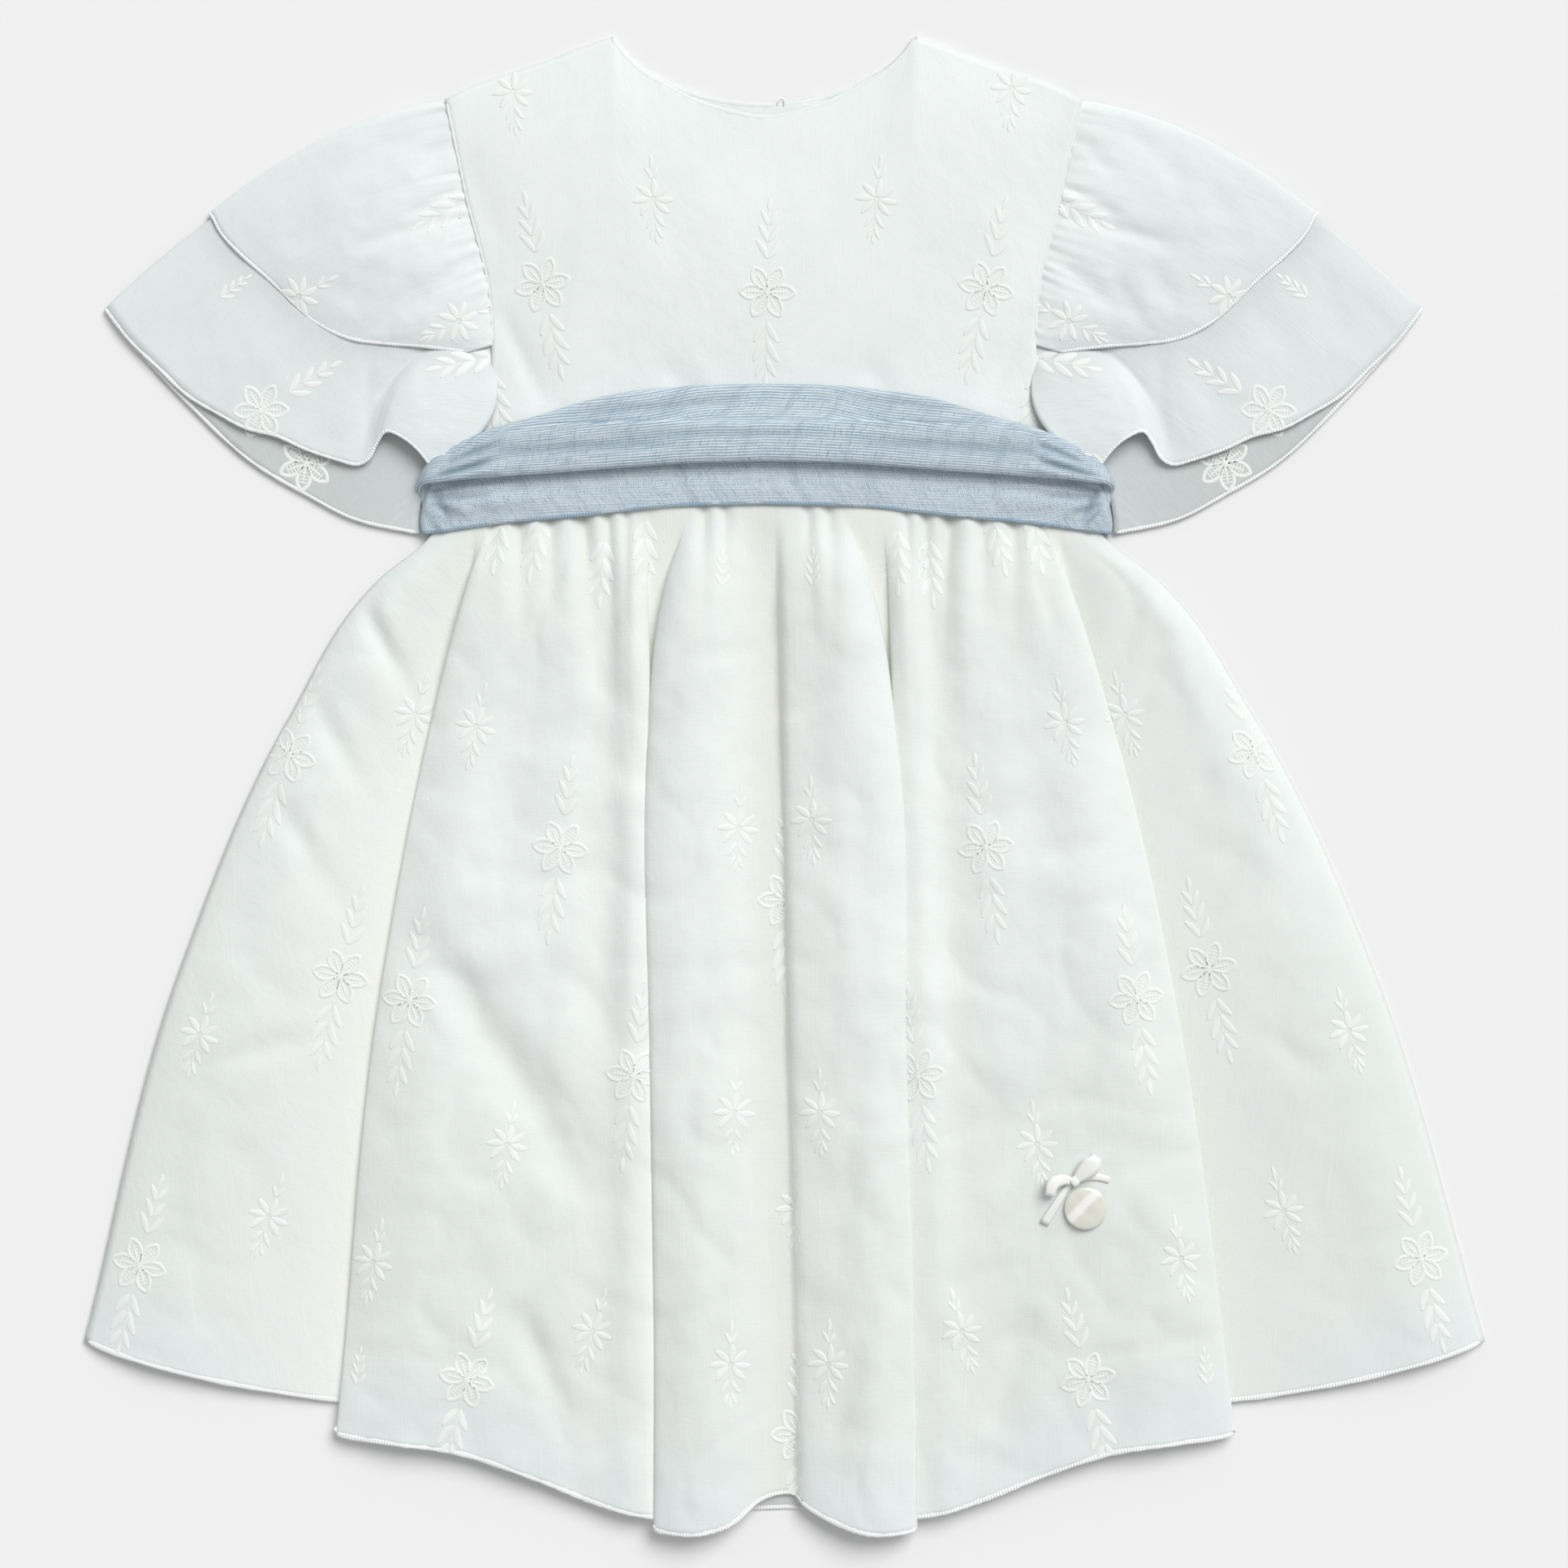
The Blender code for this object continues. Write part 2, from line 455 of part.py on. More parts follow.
def sash_section(across, share, bend, side):
    """One section of the sash: share 1 is the folded front, 0 the flat back."""
    line = []
    last = len(SASH_CREASES) - 1
    for index, (crease, folded_y) in enumerate(zip(SASH_CREASES, sash_front(across))):
        flat_y = SASH_BACK_HEM_Y + (SASH_BACK_TOP_Y - SASH_BACK_HEM_Y) * index / last
        y = flat_y + (folded_y - flat_y) * share ** 1.5
        reach = SASH_TURN_RADIUS + crease.height * share ** 0.5
        half = across * sash_reach(y) + reach * math.cos(bend)
        upward = reach if bend > 0.0 else SASH_TURN_RADIUS
        rise = REST + SASH_TURN_RADIUS + upward * math.sin(bend)
        if bend > 0.0 and across < 1.0:
            rise += waist_rise(min(half, WAIST_HALF)) - WAIST_SIDE_RISE
        line.append(placed(half, y, rise, side))
    return line


def sash_rows():
    """Closed loop of sections: the front, round an end, the back, round the other end."""
    up = math.pi / 2
    half_loop = []
    for side in (-1, 1):
        rows = [sash_section(across, 1.0, up, side) for across in SASH_ACROSS]
        rows += [sash_section(1.0, 0.5 + 0.5 * math.sin(math.radians(angle)), math.radians(angle), side)
                 for angle in SASH_TURN]
        rows += [sash_section(across, 0.0, -up, side) for across in SASH_BACK_ACROSS]
        half_loop.append(rows)
    return half_loop[0] + half_loop[1][-2:0:-1]


def material_of(node, finish):
    """The node's own plain material."""
    material = bpy.data.materials.new(node + " " + finish.words)
    material.use_nodes = True
    shader = material.node_tree.nodes["Principled BSDF"]
    shader.inputs["Base Color"].default_value = (*finish.colour, 1.0)
    shader.inputs["Roughness"].default_value = finish.roughness
    material.diffuse_color = (*finish.colour, 1.0)
    return material


def add_object(name, mesh, finish, home):
    item = bpy.data.objects.new(name, mesh)
    mesh.materials.append(material_of(name, finish))
    home.objects.link(item)
    return item


def cloth_piece(name, rows, finish, home, looped=False):
    """One closed wall of cloth: the grid as an open surface, thickened both ways."""
    count = len(rows[0])
    points = [point for row in rows for point in row]
    steps = len(rows) if looped else len(rows) - 1
    faces = []
    for row in range(steps):
        start = row * count
        after = ((row + 1) % len(rows)) * count
        for column in range(count - 1):
            faces.append((start + column, start + column + 1, after + column + 1, after + column))
    mesh = bpy.data.meshes.new(name)
    mesh.from_pydata(points, [], faces)
    mesh.update()
    item = add_object(name, mesh, finish, home)
    wall = item.modifiers.new("cloth wall", "SOLIDIFY")
    wall.thickness = CLOTH * MM
    wall.offset = 0.0
    return item


def disc(name, centre, radius, thick, finish, home):
    bpy.ops.mesh.primitive_cylinder_add(vertices=28, radius=radius * MM, depth=thick * MM,
                                        location=Vector(centre) * MM)
    item = bpy.context.active_object
    for collection in item.users_collection:
        collection.objects.unlink(item)
    item.name = name
    item.data.name = name
    item.data.materials.append(material_of(name, finish))
    home.objects.link(item)
    edge = item.modifiers.new("rounded edge", "BEVEL")
    edge.width = 0.35 * MM
    edge.segments = 2
    return item


def cloth_top(rows, x, y, reach):
    """Highest point of a cloth's upper face within reach of a place on the page."""
    place = Vector((x, y)) * MM
    heights = []
    for row, after in zip(rows, rows[1:]):
        for start, end in zip(row, after):
            for step in range(9):
                point = start.lerp(end, step / 8)
                if (point.xy - place).length < reach * MM:
                    heights.append(point.z)
    return max(heights) / MM + 0.5 * CLOTH


def ribbon_loops(centre, base):
    """Flattened ring of ribbon, pinched in the middle."""
    path = []
    for side in (1, -1):
        path += [(side * share * BOW_REACH, -side * BOW_PUFF) for share in (0.0, 0.5)]
        for angle in (-90, -45, 0, 45, 90):
            bend = math.radians(angle)
            path.append((side * (BOW_REACH + BOW_PUFF * math.cos(bend)), side * BOW_PUFF * math.sin(bend)))
        path.append((side * 0.5 * BOW_REACH, side * BOW_PUFF))
    turn = math.radians(BOW_ANGLE)
    rows = []
    for along, lift in path:
        wide = BOW_WIDTH * (0.5 + 0.5 * min(1.0, abs(along) / BOW_REACH))
        rise = base + 0.5 * CLOTH + BOW_PUFF + lift
        rows.append([Vector((centre[0] + along * math.cos(turn) - across * wide * math.sin(turn),
                             centre[1] + along * math.sin(turn) + across * wide * math.cos(turn),
                             rise)) * MM for across in (-1.0, -0.5, 0.0, 0.5, 1.0)])
    return rows


def ribbon_tails(centre, base):
    """One ribbon hung over the knot with its two ends."""
    path = through([Vector((tail.x, tail.y)) for tail in TAIL_LINE], [2] * (len(TAIL_LINE) - 1))
    rise = base + GAP + 0.5 * CLOTH
    rows = []
    for index, place in enumerate(path):
        ahead = path[min(index + 1, len(path) - 1)] - path[max(index - 1, 0)]
        across = Vector((-ahead.y, ahead.x)).normalized() * TAIL_WIDTH
        rows.append([Vector((centre[0] + place.x + share * across.x, centre[1] + place.y + share * across.y,
                             rise)) * MM for share in (-1.0, 0.0, 1.0)])
    return rows


def build():
    for item in list(bpy.data.objects):
        bpy.data.objects.remove(item)
    home = bpy.data.collections.new("Embroidered dress")
    bpy.context.scene.collection.children.link(home)

    skirt = skirt_front_rows()
    cloth_piece("skirt_front", skirt, VOILE, home)
    cloth_piece("skirt_back", skirt_back_rows(), VOILE, home)
    across = range(NECK_COLUMNS + SHOULDER_COLUMNS)
    left = bodice_rows(FRONT_NECK, -1, True, across)
    right = bodice_rows(FRONT_NECK, 1, True, across)
    cloth_piece("bodice_front", [a[:0:-1] + b for a, b in zip(left, right)], VOILE, home)
    for side, word in ((-1, "left"), (1, "right")):
        cloth_piece("bodice_back_" + word, bodice_rows(BACK_NECK, side, False, across), VOILE, home)
        cloth_piece("sleeve_outer_" + word, sleeve_rows(OUTER_RAYS, OUTER_STEPS, side), VOILE, home)
        cloth_piece("sleeve_inner_" + word, sleeve_rows(INNER_RAYS, INNER_STEPS, side), VOILE, home)
    cloth_piece("sash", sash_rows(), CHAMBRAY, home, looped=True)

    top = cloth_top(skirt, CHARM_X, CHARM_Y, CHARM_REACH)
    knot = (CHARM_X + KNOT_X, CHARM_Y + KNOT_Y)
    cloth_piece("charm_tails", ribbon_tails(knot, top), RIBBON, home)
    layer = top + GAP + CLOTH + GAP
    cloth_piece("charm_loops", ribbon_loops(knot, layer), RIBBON, home, looped=True)
    disc("charm_disc", (CHARM_X, CHARM_Y, layer + 0.5 * DISC_THICK), DISC_RADIUS, DISC_THICK, SHELL, home)
    disc("neck_button", (centre_x(BUTTON_Y), BUTTON_Y, 0.5 * BUTTON_THICK), BUTTON_RADIUS,
         BUTTON_THICK, RESIN, home)


build()
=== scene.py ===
"""Looks of the embroidered dress: thin cloth, hems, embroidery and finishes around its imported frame."""
from collections import namedtuple
import math

import bpy
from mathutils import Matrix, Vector, noise
from mathutils.bvhtree import BVHTree
import numpy as np


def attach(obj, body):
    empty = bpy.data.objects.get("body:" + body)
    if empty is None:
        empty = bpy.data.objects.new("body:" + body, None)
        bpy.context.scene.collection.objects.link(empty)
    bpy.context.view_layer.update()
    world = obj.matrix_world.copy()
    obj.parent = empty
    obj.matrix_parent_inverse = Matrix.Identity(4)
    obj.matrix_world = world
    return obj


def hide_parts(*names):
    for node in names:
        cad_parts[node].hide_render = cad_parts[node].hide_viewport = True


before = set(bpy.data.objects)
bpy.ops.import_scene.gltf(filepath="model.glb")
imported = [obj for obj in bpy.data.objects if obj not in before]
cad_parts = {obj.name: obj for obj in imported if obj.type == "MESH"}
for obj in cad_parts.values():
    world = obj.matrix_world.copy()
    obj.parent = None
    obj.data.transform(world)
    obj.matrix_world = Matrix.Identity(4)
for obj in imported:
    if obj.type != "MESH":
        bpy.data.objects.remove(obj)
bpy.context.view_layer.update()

bl_info = {
    "name": "Embroidered dress",
    "version": (1, 0, 0),
    "blender": (4, 5, 0),
    "location": "View3D > Sidebar > Dress",
    "description": "Builds the cloth, embroidery and trims of a child's dress laid flat",
    "category": "Object",
}

MM = 0.001
ROOT = "root"
# The photograph's scale: millimetres to a pixel, and pixels along its side.
PIXEL = 0.32
PAGE = 1932
SIDES = ((-1, "left"), (1, "right"))

# Sizes of the solids that the shown cloth follows. Every length below is in millimetres.
CLOTH = 1.0
GAP = 0.3
SEAM_GAP = 0.5
REST = 0.5 * CLOTH
WAIST_HALF = 129.6
WAIST_Y = 117.1
WAIST_DROP = 8.3
WAIST_SIDE_RISE = 3.3
WAIST_CROWN = 2.7
SASH_STEP = 1.5
SASH_EASE = 16.0
SASH_TURN_RADIUS = 2.15
SASH_BACK_HEM_Y = 99.0
SASH_BACK_TOP_Y = 137.0
BUTTON_Y = 262.0
BUTTON_BASE = 0.06
# How far the back lifts over the button, how far round it, and the length of the slope.
BUTTON_LIFT = 1.5
BUTTON_CLEAR = 15.0
BUTTON_EASE = 14.0

# The shell disc's place on the skirt, and the bow's knot from there.
CHARM_X = 118.7
CHARM_Y = -167.0
KNOT_X = -4.5
KNOT_Y = 10.6
DISC_LIFT = 0.4
RIBBON_WALL = 0.35
RIBBON_CUP = 0.25
# The bow's loops: their puff, and how far their turned ends reach out.
BOW_PUFF = 2.2
BOW_TURN = 0.9
BOW_TURN_STEPS = 6
# The knot's bearing in degrees, its half sizes, and the height of its middle.
KNOT_TURN = 128.0
KNOT_LONG = 1.9
KNOT_WIDE = 1.35
KNOT_HIGH = 1.25
KNOT_RISE = 1.2
KNOT_STEPS = 14
KNOT_SUNK = 0.2
# Lifts of the ribbons over the cloth, and the places across the disc where cloth may carry it.
BOW_LIFT = 0.9
TAIL_LIFT = 0.45
DISC_RESTS = (-7.0, 0.0, 7.0)

# A fold line of the front skirt: its half widths and rises from waist to hem, its hem's place, its
# looseness and warmth (how much painted warm shade lies in its fold), and the steps of the solid's
# mesh to the next line.
Fold = namedtuple("Fold", "name waist sash yoke upper middle hem "
                  "yoke_rise upper_rise middle_rise hem_rise hem_y gather warm cells")
Edge = namedtuple("Edge", "half y")
Side = namedtuple("Side", "y half")
# A line down a sleeve tier, from the armhole seam to the hem, with its sideways bow and its loft.
Ray = namedtuple("Ray", "name seam_y hem_half hem_y bow_half bow_y seam_rise hem_rise loft cells")
# The sash's page heights at a part of the way from its centre to its end.
Section = namedtuple("Section", "name across hem_y lip_y crease_y top_y")
# A crease along the sash: the page height or strip it follows, its place from there, and its own height.
Crease = namedtuple("Crease", "name follows place height")
# Heights of the bodice front at a part of the way down it.
Chest = namedtuple("Chest", "name along side shoulder neck centre")
Lean = namedtuple("Lean", "y x")
# A soft trough from one page point to another. Where its depth is below nothing it is a ridge.
Trough = namedtuple("Trough", "x y end_x end_y width depth")
# One narrow gather valley under the waist: where it starts, where it ends, and its reach.
Gather = namedtuple("Gather", "half end_half end_y width depth")
# One layer of uneven soft dents: its depth, the distance between them, and the seed of their places.
Rumple = namedtuple("Rumple", "depth scale seed")
# A rolled or stitched edge: its width, its thickness and the pitch of its puckers.
Roll = namedtuple("Roll", "wide thick pitch")
Sprig = namedtuple("Sprig", "kind x y turn")
Ribbon = namedtuple("Ribbon", "x y half")
Ring = namedtuple("Ring", "radius rise")
Spot = namedtuple("Spot", "x y")
# Colours of a voile. Its warm and low tones, and the tone of a single sheer layer, are painted shade.
VoileTones = namedtuple("VoileTones", "base shade warm low hem single gap slub")
# The sash's yarn colours; the last one is a painted shade for its pinched ends.
SashTones = namedtuple("SashTones", "blue pale dark grey deep")

HALF_FOLDS = (
    Fold("side_seam", 129.6, 132.6, 152.6, 191.0, 235.9, 277.1, 1.8, 1.8, 1.8, 1.8, -220.5, 0.0, 0.1, 1),
    Fold("side_roll", 127.7, 130.4, 149.6, 187.2, 229.9, 270.7, 4.2, 4.8, 4.5, 4.0, -223.4, 0.3, 0.0, 2),
    Fold("side_swell", 124.2, 126.1, 143.4, 174.4, 211.2, 251.5, 6.5, 7.6, 7.0, 6.5, -229.8, 1.0, 0.0, 3),
    Fold("side_hollow", 120.3, 121.6, 135.7, 158.4, 190.7, 220.8, 6.0, 5.6, 6.0, 5.0, -237.4, 1.0, 0.15, 2),
    Fold("side_inner", 117.4, 118.1, 126.7, 144.6, 169.6, 192.0, 4.6, 3.8, 3.4, 3.0, -242.6, 0.5, 0.4, 3),
    Fold("tuck_under", 115.5, 115.8, 117.6, 130.5, 149.0, 163.1, 3.0, 2.5, 2.3, 2.3, -247.0, 0.0, 1.0, 2),
    Fold("tuck_tip", 114.3, 114.6, 117.0, 129.3, 147.8, 161.9, 3.9, 3.2, 3.0, 3.0, -249.0, 0.0, 1.0, 2),
    Fold("tuck_over", 113.2, 113.5, 117.2, 130.5, 149.0, 163.1, 5.0, 4.0, 3.8, 3.7, -250.6, 0.0, 0.6, 1),
    Fold("edge_under", 112.3, 112.5, 117.6, 134.5, 156.9, 176.1, 5.6, 4.2, 4.0, 3.8, -255.0, 0.0, 0.5, 2),
    Fold("edge_tip", 111.2, 111.4, 117.8, 135.7, 158.1, 177.3, 6.8, 5.0, 4.8, 4.5, -256.6, 0.0, 0.25, 2),
    Fold("edge_top", 110.1, 110.3, 117.0, 134.5, 156.9, 176.1, 7.9, 6.0, 5.8, 5.4, -257.6, 0.3, 0.1, 2),
    Fold("panel_swell", 104.3, 104.3, 106.2, 119.0, 137.6, 153.6, 9.6, 10.2, 10.4, 9.2, -261.1, 1.0, 0.0, 4),
    Fold("panel_middle", 90.9, 90.9, 91.5, 101.1, 112.6, 128.0, 9.0, 8.8, 9.2, 8.2, -265.0, 1.0, 0.0, 4),
    Fold("panel_inner", 75.5, 75.5, 76.2, 80.6, 88.3, 99.2, 9.4, 9.2, 8.4, 7.6, -274.9, 1.0, 0.0, 4),
    Fold("panel_hollow", 62.1, 62.1, 63.4, 65.9, 69.1, 76.8, 7.6, 7.4, 7.0, 7.2, -283.8, 1.0, 0.15, 3),
    Fold("slit_ridge", 52.5, 52.5, 53.4, 55.0, 57.6, 61.4, 10.6, 10.2, 9.4, 8.4, -288.6, 0.5, 0.1, 2),
    Fold("slit_edge", 47.7, 47.7, 47.7, 47.8, 49.0, 50.3, 7.4, 7.5, 7.1, 6.0, -290.2, 0.0, 0.9, 2),
    Fold("slit_outer", 44.2, 44.8, 47.4, 51.2, 52.8, 54.7, 6.0, 4.6, 3.9, 3.2, -289.0, 0.0, 1.0, 2),
    Fold("slit_floor", 38.4, 39.0, 43.2, 47.0, 48.6, 49.9, 5.4, 3.6, 2.6, 2.0, -288.0, 0.0, 1.0, 2),
    Fold("slit_inner", 32.0, 32.6, 38.1, 44.6, 45.6, 46.6, 6.2, 4.6, 3.9, 3.2, -289.3, 0.0, 1.0, 2),
    Fold("roll_edge", 30.7, 31.4, 39.0, 49.3, 50.5, 51.8, 8.2, 9.0, 8.6, 7.4, -294.4, 0.0, 0.2, 2),
    Fold("roll_outer", 26.9, 27.5, 34.9, 43.4, 44.6, 45.4, 11.6, 12.2, 11.6, 9.8, -296.0, 0.4, 0.0, 2),
    Fold("roll_crest", 20.2, 20.5, 25.6, 31.4, 32.6, 33.9, 13.2, 13.8, 13.4, 11.6, -296.3, 0.6, 0.0, 3),
    Fold("roll_inner", 12.8, 13.1, 15.4, 18.6, 19.8, 21.1, 10.6, 11.4, 11.0, 9.2, -292.5, 0.5, 0.1, 2),
)
CENTRE_FOLDS = (
    Fold("valley_left", 7.0, 7.0, 7.4, 8.3, 9.0, 9.9, 6.4, 6.4, 6.0, 5.2, -283.5, 0.3, 0.45, 2),
    Fold("valley_floor", 0.6, 0.6, 0.6, 1.0, 1.3, 1.9, 4.6, 4.2, 3.9, 3.4, -281.0, 0.0, 1.0, 2),
    Fold("valley_right", -4.2, -4.2, -3.8, -3.5, -3.5, -3.8, 5.0, 4.4, 4.1, 3.6, -281.3, 0.0, 1.0, 1),
    Fold("edge_crisp", -6.4, -6.4, -6.1, -5.4, -5.8, -6.7, 8.4, 8.0, 7.6, 6.4, -284.8, 0.0, 0.25, 2),
)
FRONT_NECK = (
    Edge(0.0, 264.3), Edge(3.0, 264.4), Edge(13.4, 266.6), Edge(26.2, 270.7), Edge(36.8, 276.2),
    Edge(47.7, 282.6), Edge(55.0, 289.6), Edge(59.5, 296.0),
)
BACK_NECK = (
    Edge(0.0, 269.4), Edge(0.6, 269.4), Edge(13.4, 270.4), Edge(26.2, 273.3), Edge(36.8, 277.4),
    Edge(47.7, 283.5), Edge(55.0, 289.9), Edge(59.5, 296.0),
)
SHOULDER = (
    Edge(59.5, 296.0), Edge(73.6, 290.9), Edge(84.5, 286.7), Edge(99.2, 281.6), Edge(113.0, 276.8),
    Edge(126.1, 270.4),
)
SIDE_LINE = (
    Side(270.4, 126.1), Side(251.5, 122.2), Side(229.1, 117.4), Side(213.1, 113.0), Side(197.1, 109.4),
    Side(181.1, 108.0), Side(168.3, 107.8), Side(158.7, 109.1), Side(141.8, 115.2), Side(128.3, 121.9),
    Side(117.1, 127.0), Side(108.8, 129.6),
)
OUTER_RAYS = (
    Ray("back_low", 173.1, 119.0, 168.3, 0.0, 0.0, 0.5, 0.5, 0.0, 1),
    Ray("back_third", 197.1, 150.4, 173.4, 0.0, 0.0, 0.5, 0.5, 0.0, 1),
    Ray("back_second", 217.9, 177.9, 185.6, 0.0, 1.3, 0.5, 0.5, 0.0, 1),
    Ray("back_first", 240.3, 199.0, 204.8, 0.0, 4.5, 0.5, 0.5, 0.0, 1),
    Ray("back_top", 261.1, 213.8, 220.8, 0.0, 6.4, 0.5, 0.5, 0.0, 1),
    Ray("fold_under", 268.8, 218.2, 224.3, 0.0, 8.0, 1.2, 1.0, 0.0, 1),
    Ray("fold", 270.1, 219.5, 225.3, 0.0, 8.0, 2.45, 2.2, 0.0, 1),
    Ray("fold_over", 268.8, 218.2, 223.7, 0.0, 8.0, 3.7, 3.4, 0.0, 1),
    Ray("front_top", 261.1, 215.0, 217.6, 0.0, 6.4, 4.4, 4.2, 1.0, 1),
    Ray("front_first", 243.5, 207.4, 209.3, 0.0, 4.8, 4.4, 4.9, 2.6, 2),
    Ray("front_second", 225.3, 195.8, 199.0, 0.0, 2.6, 4.4, 5.0, 3.4, 2),
    Ray("front_third", 211.5, 177.9, 182.4, 0.0, 1.0, 4.4, 5.4, 3.2, 2),
    Ray("front_fourth", 200.3, 163.8, 175.4, 0.0, 0.0, 4.4, 5.7, 2.6, 1),
    Ray("front_fifth", 190.7, 150.4, 173.4, 0.0, 0.0, 4.4, 5.8, 2.0, 1),
    Ray("front_sixth", 181.1, 134.4, 172.2, 0.0, 0.0, 4.4, 5.8, 1.2, 1),
    Ray("front_low", 173.4, 117.1, 170.2, 0.0, 0.0, 4.4, 5.2, 0.2, 1),
)
INNER_RAYS = (
    Ray("back_low", 153.0, 137.2, 98.6, 7.6, 0.0, 1.8, 1.8, 0.0, 1),
    Ray("back_fifth", 166.0, 162.9, 104.3, 5.0, 0.0, 1.8, 1.8, 0.0, 1),
    Ray("back_fourth", 180.0, 181.1, 113.6, 1.3, 0.0, 1.8, 1.8, 0.0, 1),
    Ray("back_third", 200.3, 204.8, 128.0, 0.0, 1.3, 1.8, 1.8, 0.0, 1),
    Ray("back_second", 222.7, 229.1, 151.0, 0.0, 5.1, 1.8, 1.8, 0.0, 1),
    Ray("back_first", 248.3, 248.3, 171.5, 0.0, 9.6, 1.8, 1.8, 0.0, 1),
    Ray("back_top", 261.1, 257.3, 182.4, 0.0, 11.2, 1.8, 1.8, 0.0, 1),
    Ray("fold", 267.5, 260.8, 187.5, 0.0, 12.6, 2.45, 1.9, 0.0, 1),
    Ray("front_top", 261.1, 257.0, 182.4, 0.0, 11.2, 3.1, 3.0, 0.0, 1),
    Ray("front_first", 253.1, 250.9, 174.7, 0.0, 10.6, 3.1, 3.0, 0.6, 1),
    Ray("front_second", 240.3, 240.0, 164.2, 0.0, 8.0, 3.1, 3.2, 1.2, 1),
    Ray("front_third", 228.5, 228.5, 153.3, 0.0, 5.4, 3.1, 3.6, 1.4, 1),
    Ray("front_fourth", 218.2, 216.3, 145.9, 0.0, 3.5, 3.1, 4.0, 1.4, 1),
    Ray("front_fifth", 209.3, 205.4, 140.2, 0.0, 2.2, 3.1, 4.4, 1.2, 1),
    Ray("front_sixth", 201.6, 193.0, 137.0, 2.0, 2.3, 3.1, 4.6, 1.0, 1),
    Ray("front_seventh", 195.2, 181.8, 131.8, 5.0, 3.6, 3.1, 5.0, 0.8, 1),
    Ray("front_eighth", 189.4, 169.6, 127.7, 8.0, 6.0, 3.1, 4.8, 0.5, 1),
    Ray("valley_outer", 184.3, 161.0, 125.8, 10.0, 8.4, 3.1, 4.2, 0.3, 1),
    Ray("valley_inner", 180.2, 156.2, 128.3, 10.6, 9.6, 3.1, 5.2, 0.2, 1),
    Ray("flute_rise", 176.6, 152.6, 134.7, 9.6, 9.4, 3.1, 6.6, 0.4, 1),
    Ray("flute_left", 173.4, 149.1, 138.6, 7.8, 8.4, 3.1, 8.4, 1.0, 1),
    Ray("flute_top", 170.6, 142.7, 136.0, 4.0, 7.4, 3.1, 9.4, 1.6, 1),
    Ray("flute_right", 168.0, 137.0, 131.2, -2.6, 4.0, 3.1, 9.0, 1.8, 1),
    Ray("flute_end", 165.0, 131.8, 124.4, -10.6, -2.0, 3.1, 7.8, 1.6, 1),
)
SASH_SECTIONS = (
    Section("centre", 0.0, 110.4, 127.7, 142.4, 157.4),
    Section("inner", 0.27, 109.4, 126.7, 142.4, 156.5),
    Section("middle", 0.57, 105.3, 123.8, 141.4, 152.0),
    Section("outer", 0.8, 102.4, 121.6, 139.8, 143.7),
    Section("near_end", 0.92, 100.2, 120.3, 135.0, 139.5),
    Section("end", 1.0, 98.9, 119.0, 129.3, 134.4),
)
SASH_CREASES = (
    Crease("hem", "hem_y", 0.0, 0.0),
    Crease("flat_low", "hem_y", 5.6, 0.5),
    Crease("flat_high", "lip_y", -1.9, 0.0),
    Crease("tuck_in", "lip_y", 6.6, 0.0),
    Crease("tuck_turn", "lip_y", 7.6, 1.3),
    Crease("tuck_out", "lip_y", 6.0, 2.5),
    Crease("lip_under", "lip_y", 1.0, 3.6),
    Crease("lip", "lip_y", -0.3, 4.9),
    Crease("lip_over", "lip_y", 1.0, 6.2),
    Crease("roll", "lip_y", 7.4, 6.9),
    Crease("roll_top", "strip", -0.10, 6.9),
    Crease("roll_lip", "strip", 0.03, 6.6),
    Crease("roll_under", "strip", -0.03, 4.3),
    Crease("strip_low", "strip", 0.3, 3.9),
    Crease("strip_high", "strip", 0.7, 3.6),
    Crease("top_over", "strip", 0.94, 2.9),
    Crease("top", "strip", 1.0, 1.7),
    Crease("top_under", "strip", 0.85, 0.2),
)
# Steps of the mesh from each crease of the sash to the next, along its front, and round half its end.
CREASE_CELLS = (5, 9, 4, 2, 2, 3, 3, 3, 6, 7, 3, 3, 4, 5, 4, 3, 3)
SASH_STEPS = 110
SASH_TURN_STEPS = 12
# Place and height of the roll's lip at the sash's middle, where it lies smooth, and the parts of the
# way out between which it folds under.
SMOOTH_LIP = {"roll_lip": (0.04, 5.5), "roll_under": (0.12, 5.0)}
LIP_FROM = 0.12
LIP_FULL = 0.42
# Creases counted up from the hem: those below the first number show the weave's back, and the
# second one lies in the shade under the roll.
SASH_REVERSE_TO = 4.5
ROLL_UNDER = 12.1
# Reach from the middle line where the painted shade under the roll, and the painted shade that darkens the
# pinched ends, begin.
ROLL_SHADE_FROM = 38.0
SASH_PINCH_FROM = 92.0
SASH_FADE = 30.0
SASH_END = (
    Side(150.0, 117.0), Side(141.0, 119.5), Side(135.0, 122.5), Side(131.0, 125.0), Side(126.0, 128.5),
    Side(119.0, 132.8), Side(112.0, 135.2), Side(105.0, 136.2), Side(98.0, 136.0),
)
SKIRT_BACK_HEM = (
    Edge(0.0, -287.0), Edge(32.0, -287.6), Edge(64.0, -282.9), Edge(96.0, -273.9),
    Edge(134.4, -261.1), Edge(160.0, -249.8), Edge(176.6, -243.0), Edge(192.0, -239.4),
    Edge(224.0, -234.2), Edge(262.4, -224.3), Edge(277.1, -220.5),
)
CENTRE_LINE = (
    Lean(400.0, -7.5), Lean(133.0, -7.5), Lean(104.3, -7.0), Lean(85.1, -6.4), Lean(37.1, -5.1),
    Lean(-30.1, -3.5), Lean(-106.9, -2.2), Lean(-154.9, -1.1), Lean(-202.9, 0.0), Lean(-400.0, 0.0),
)
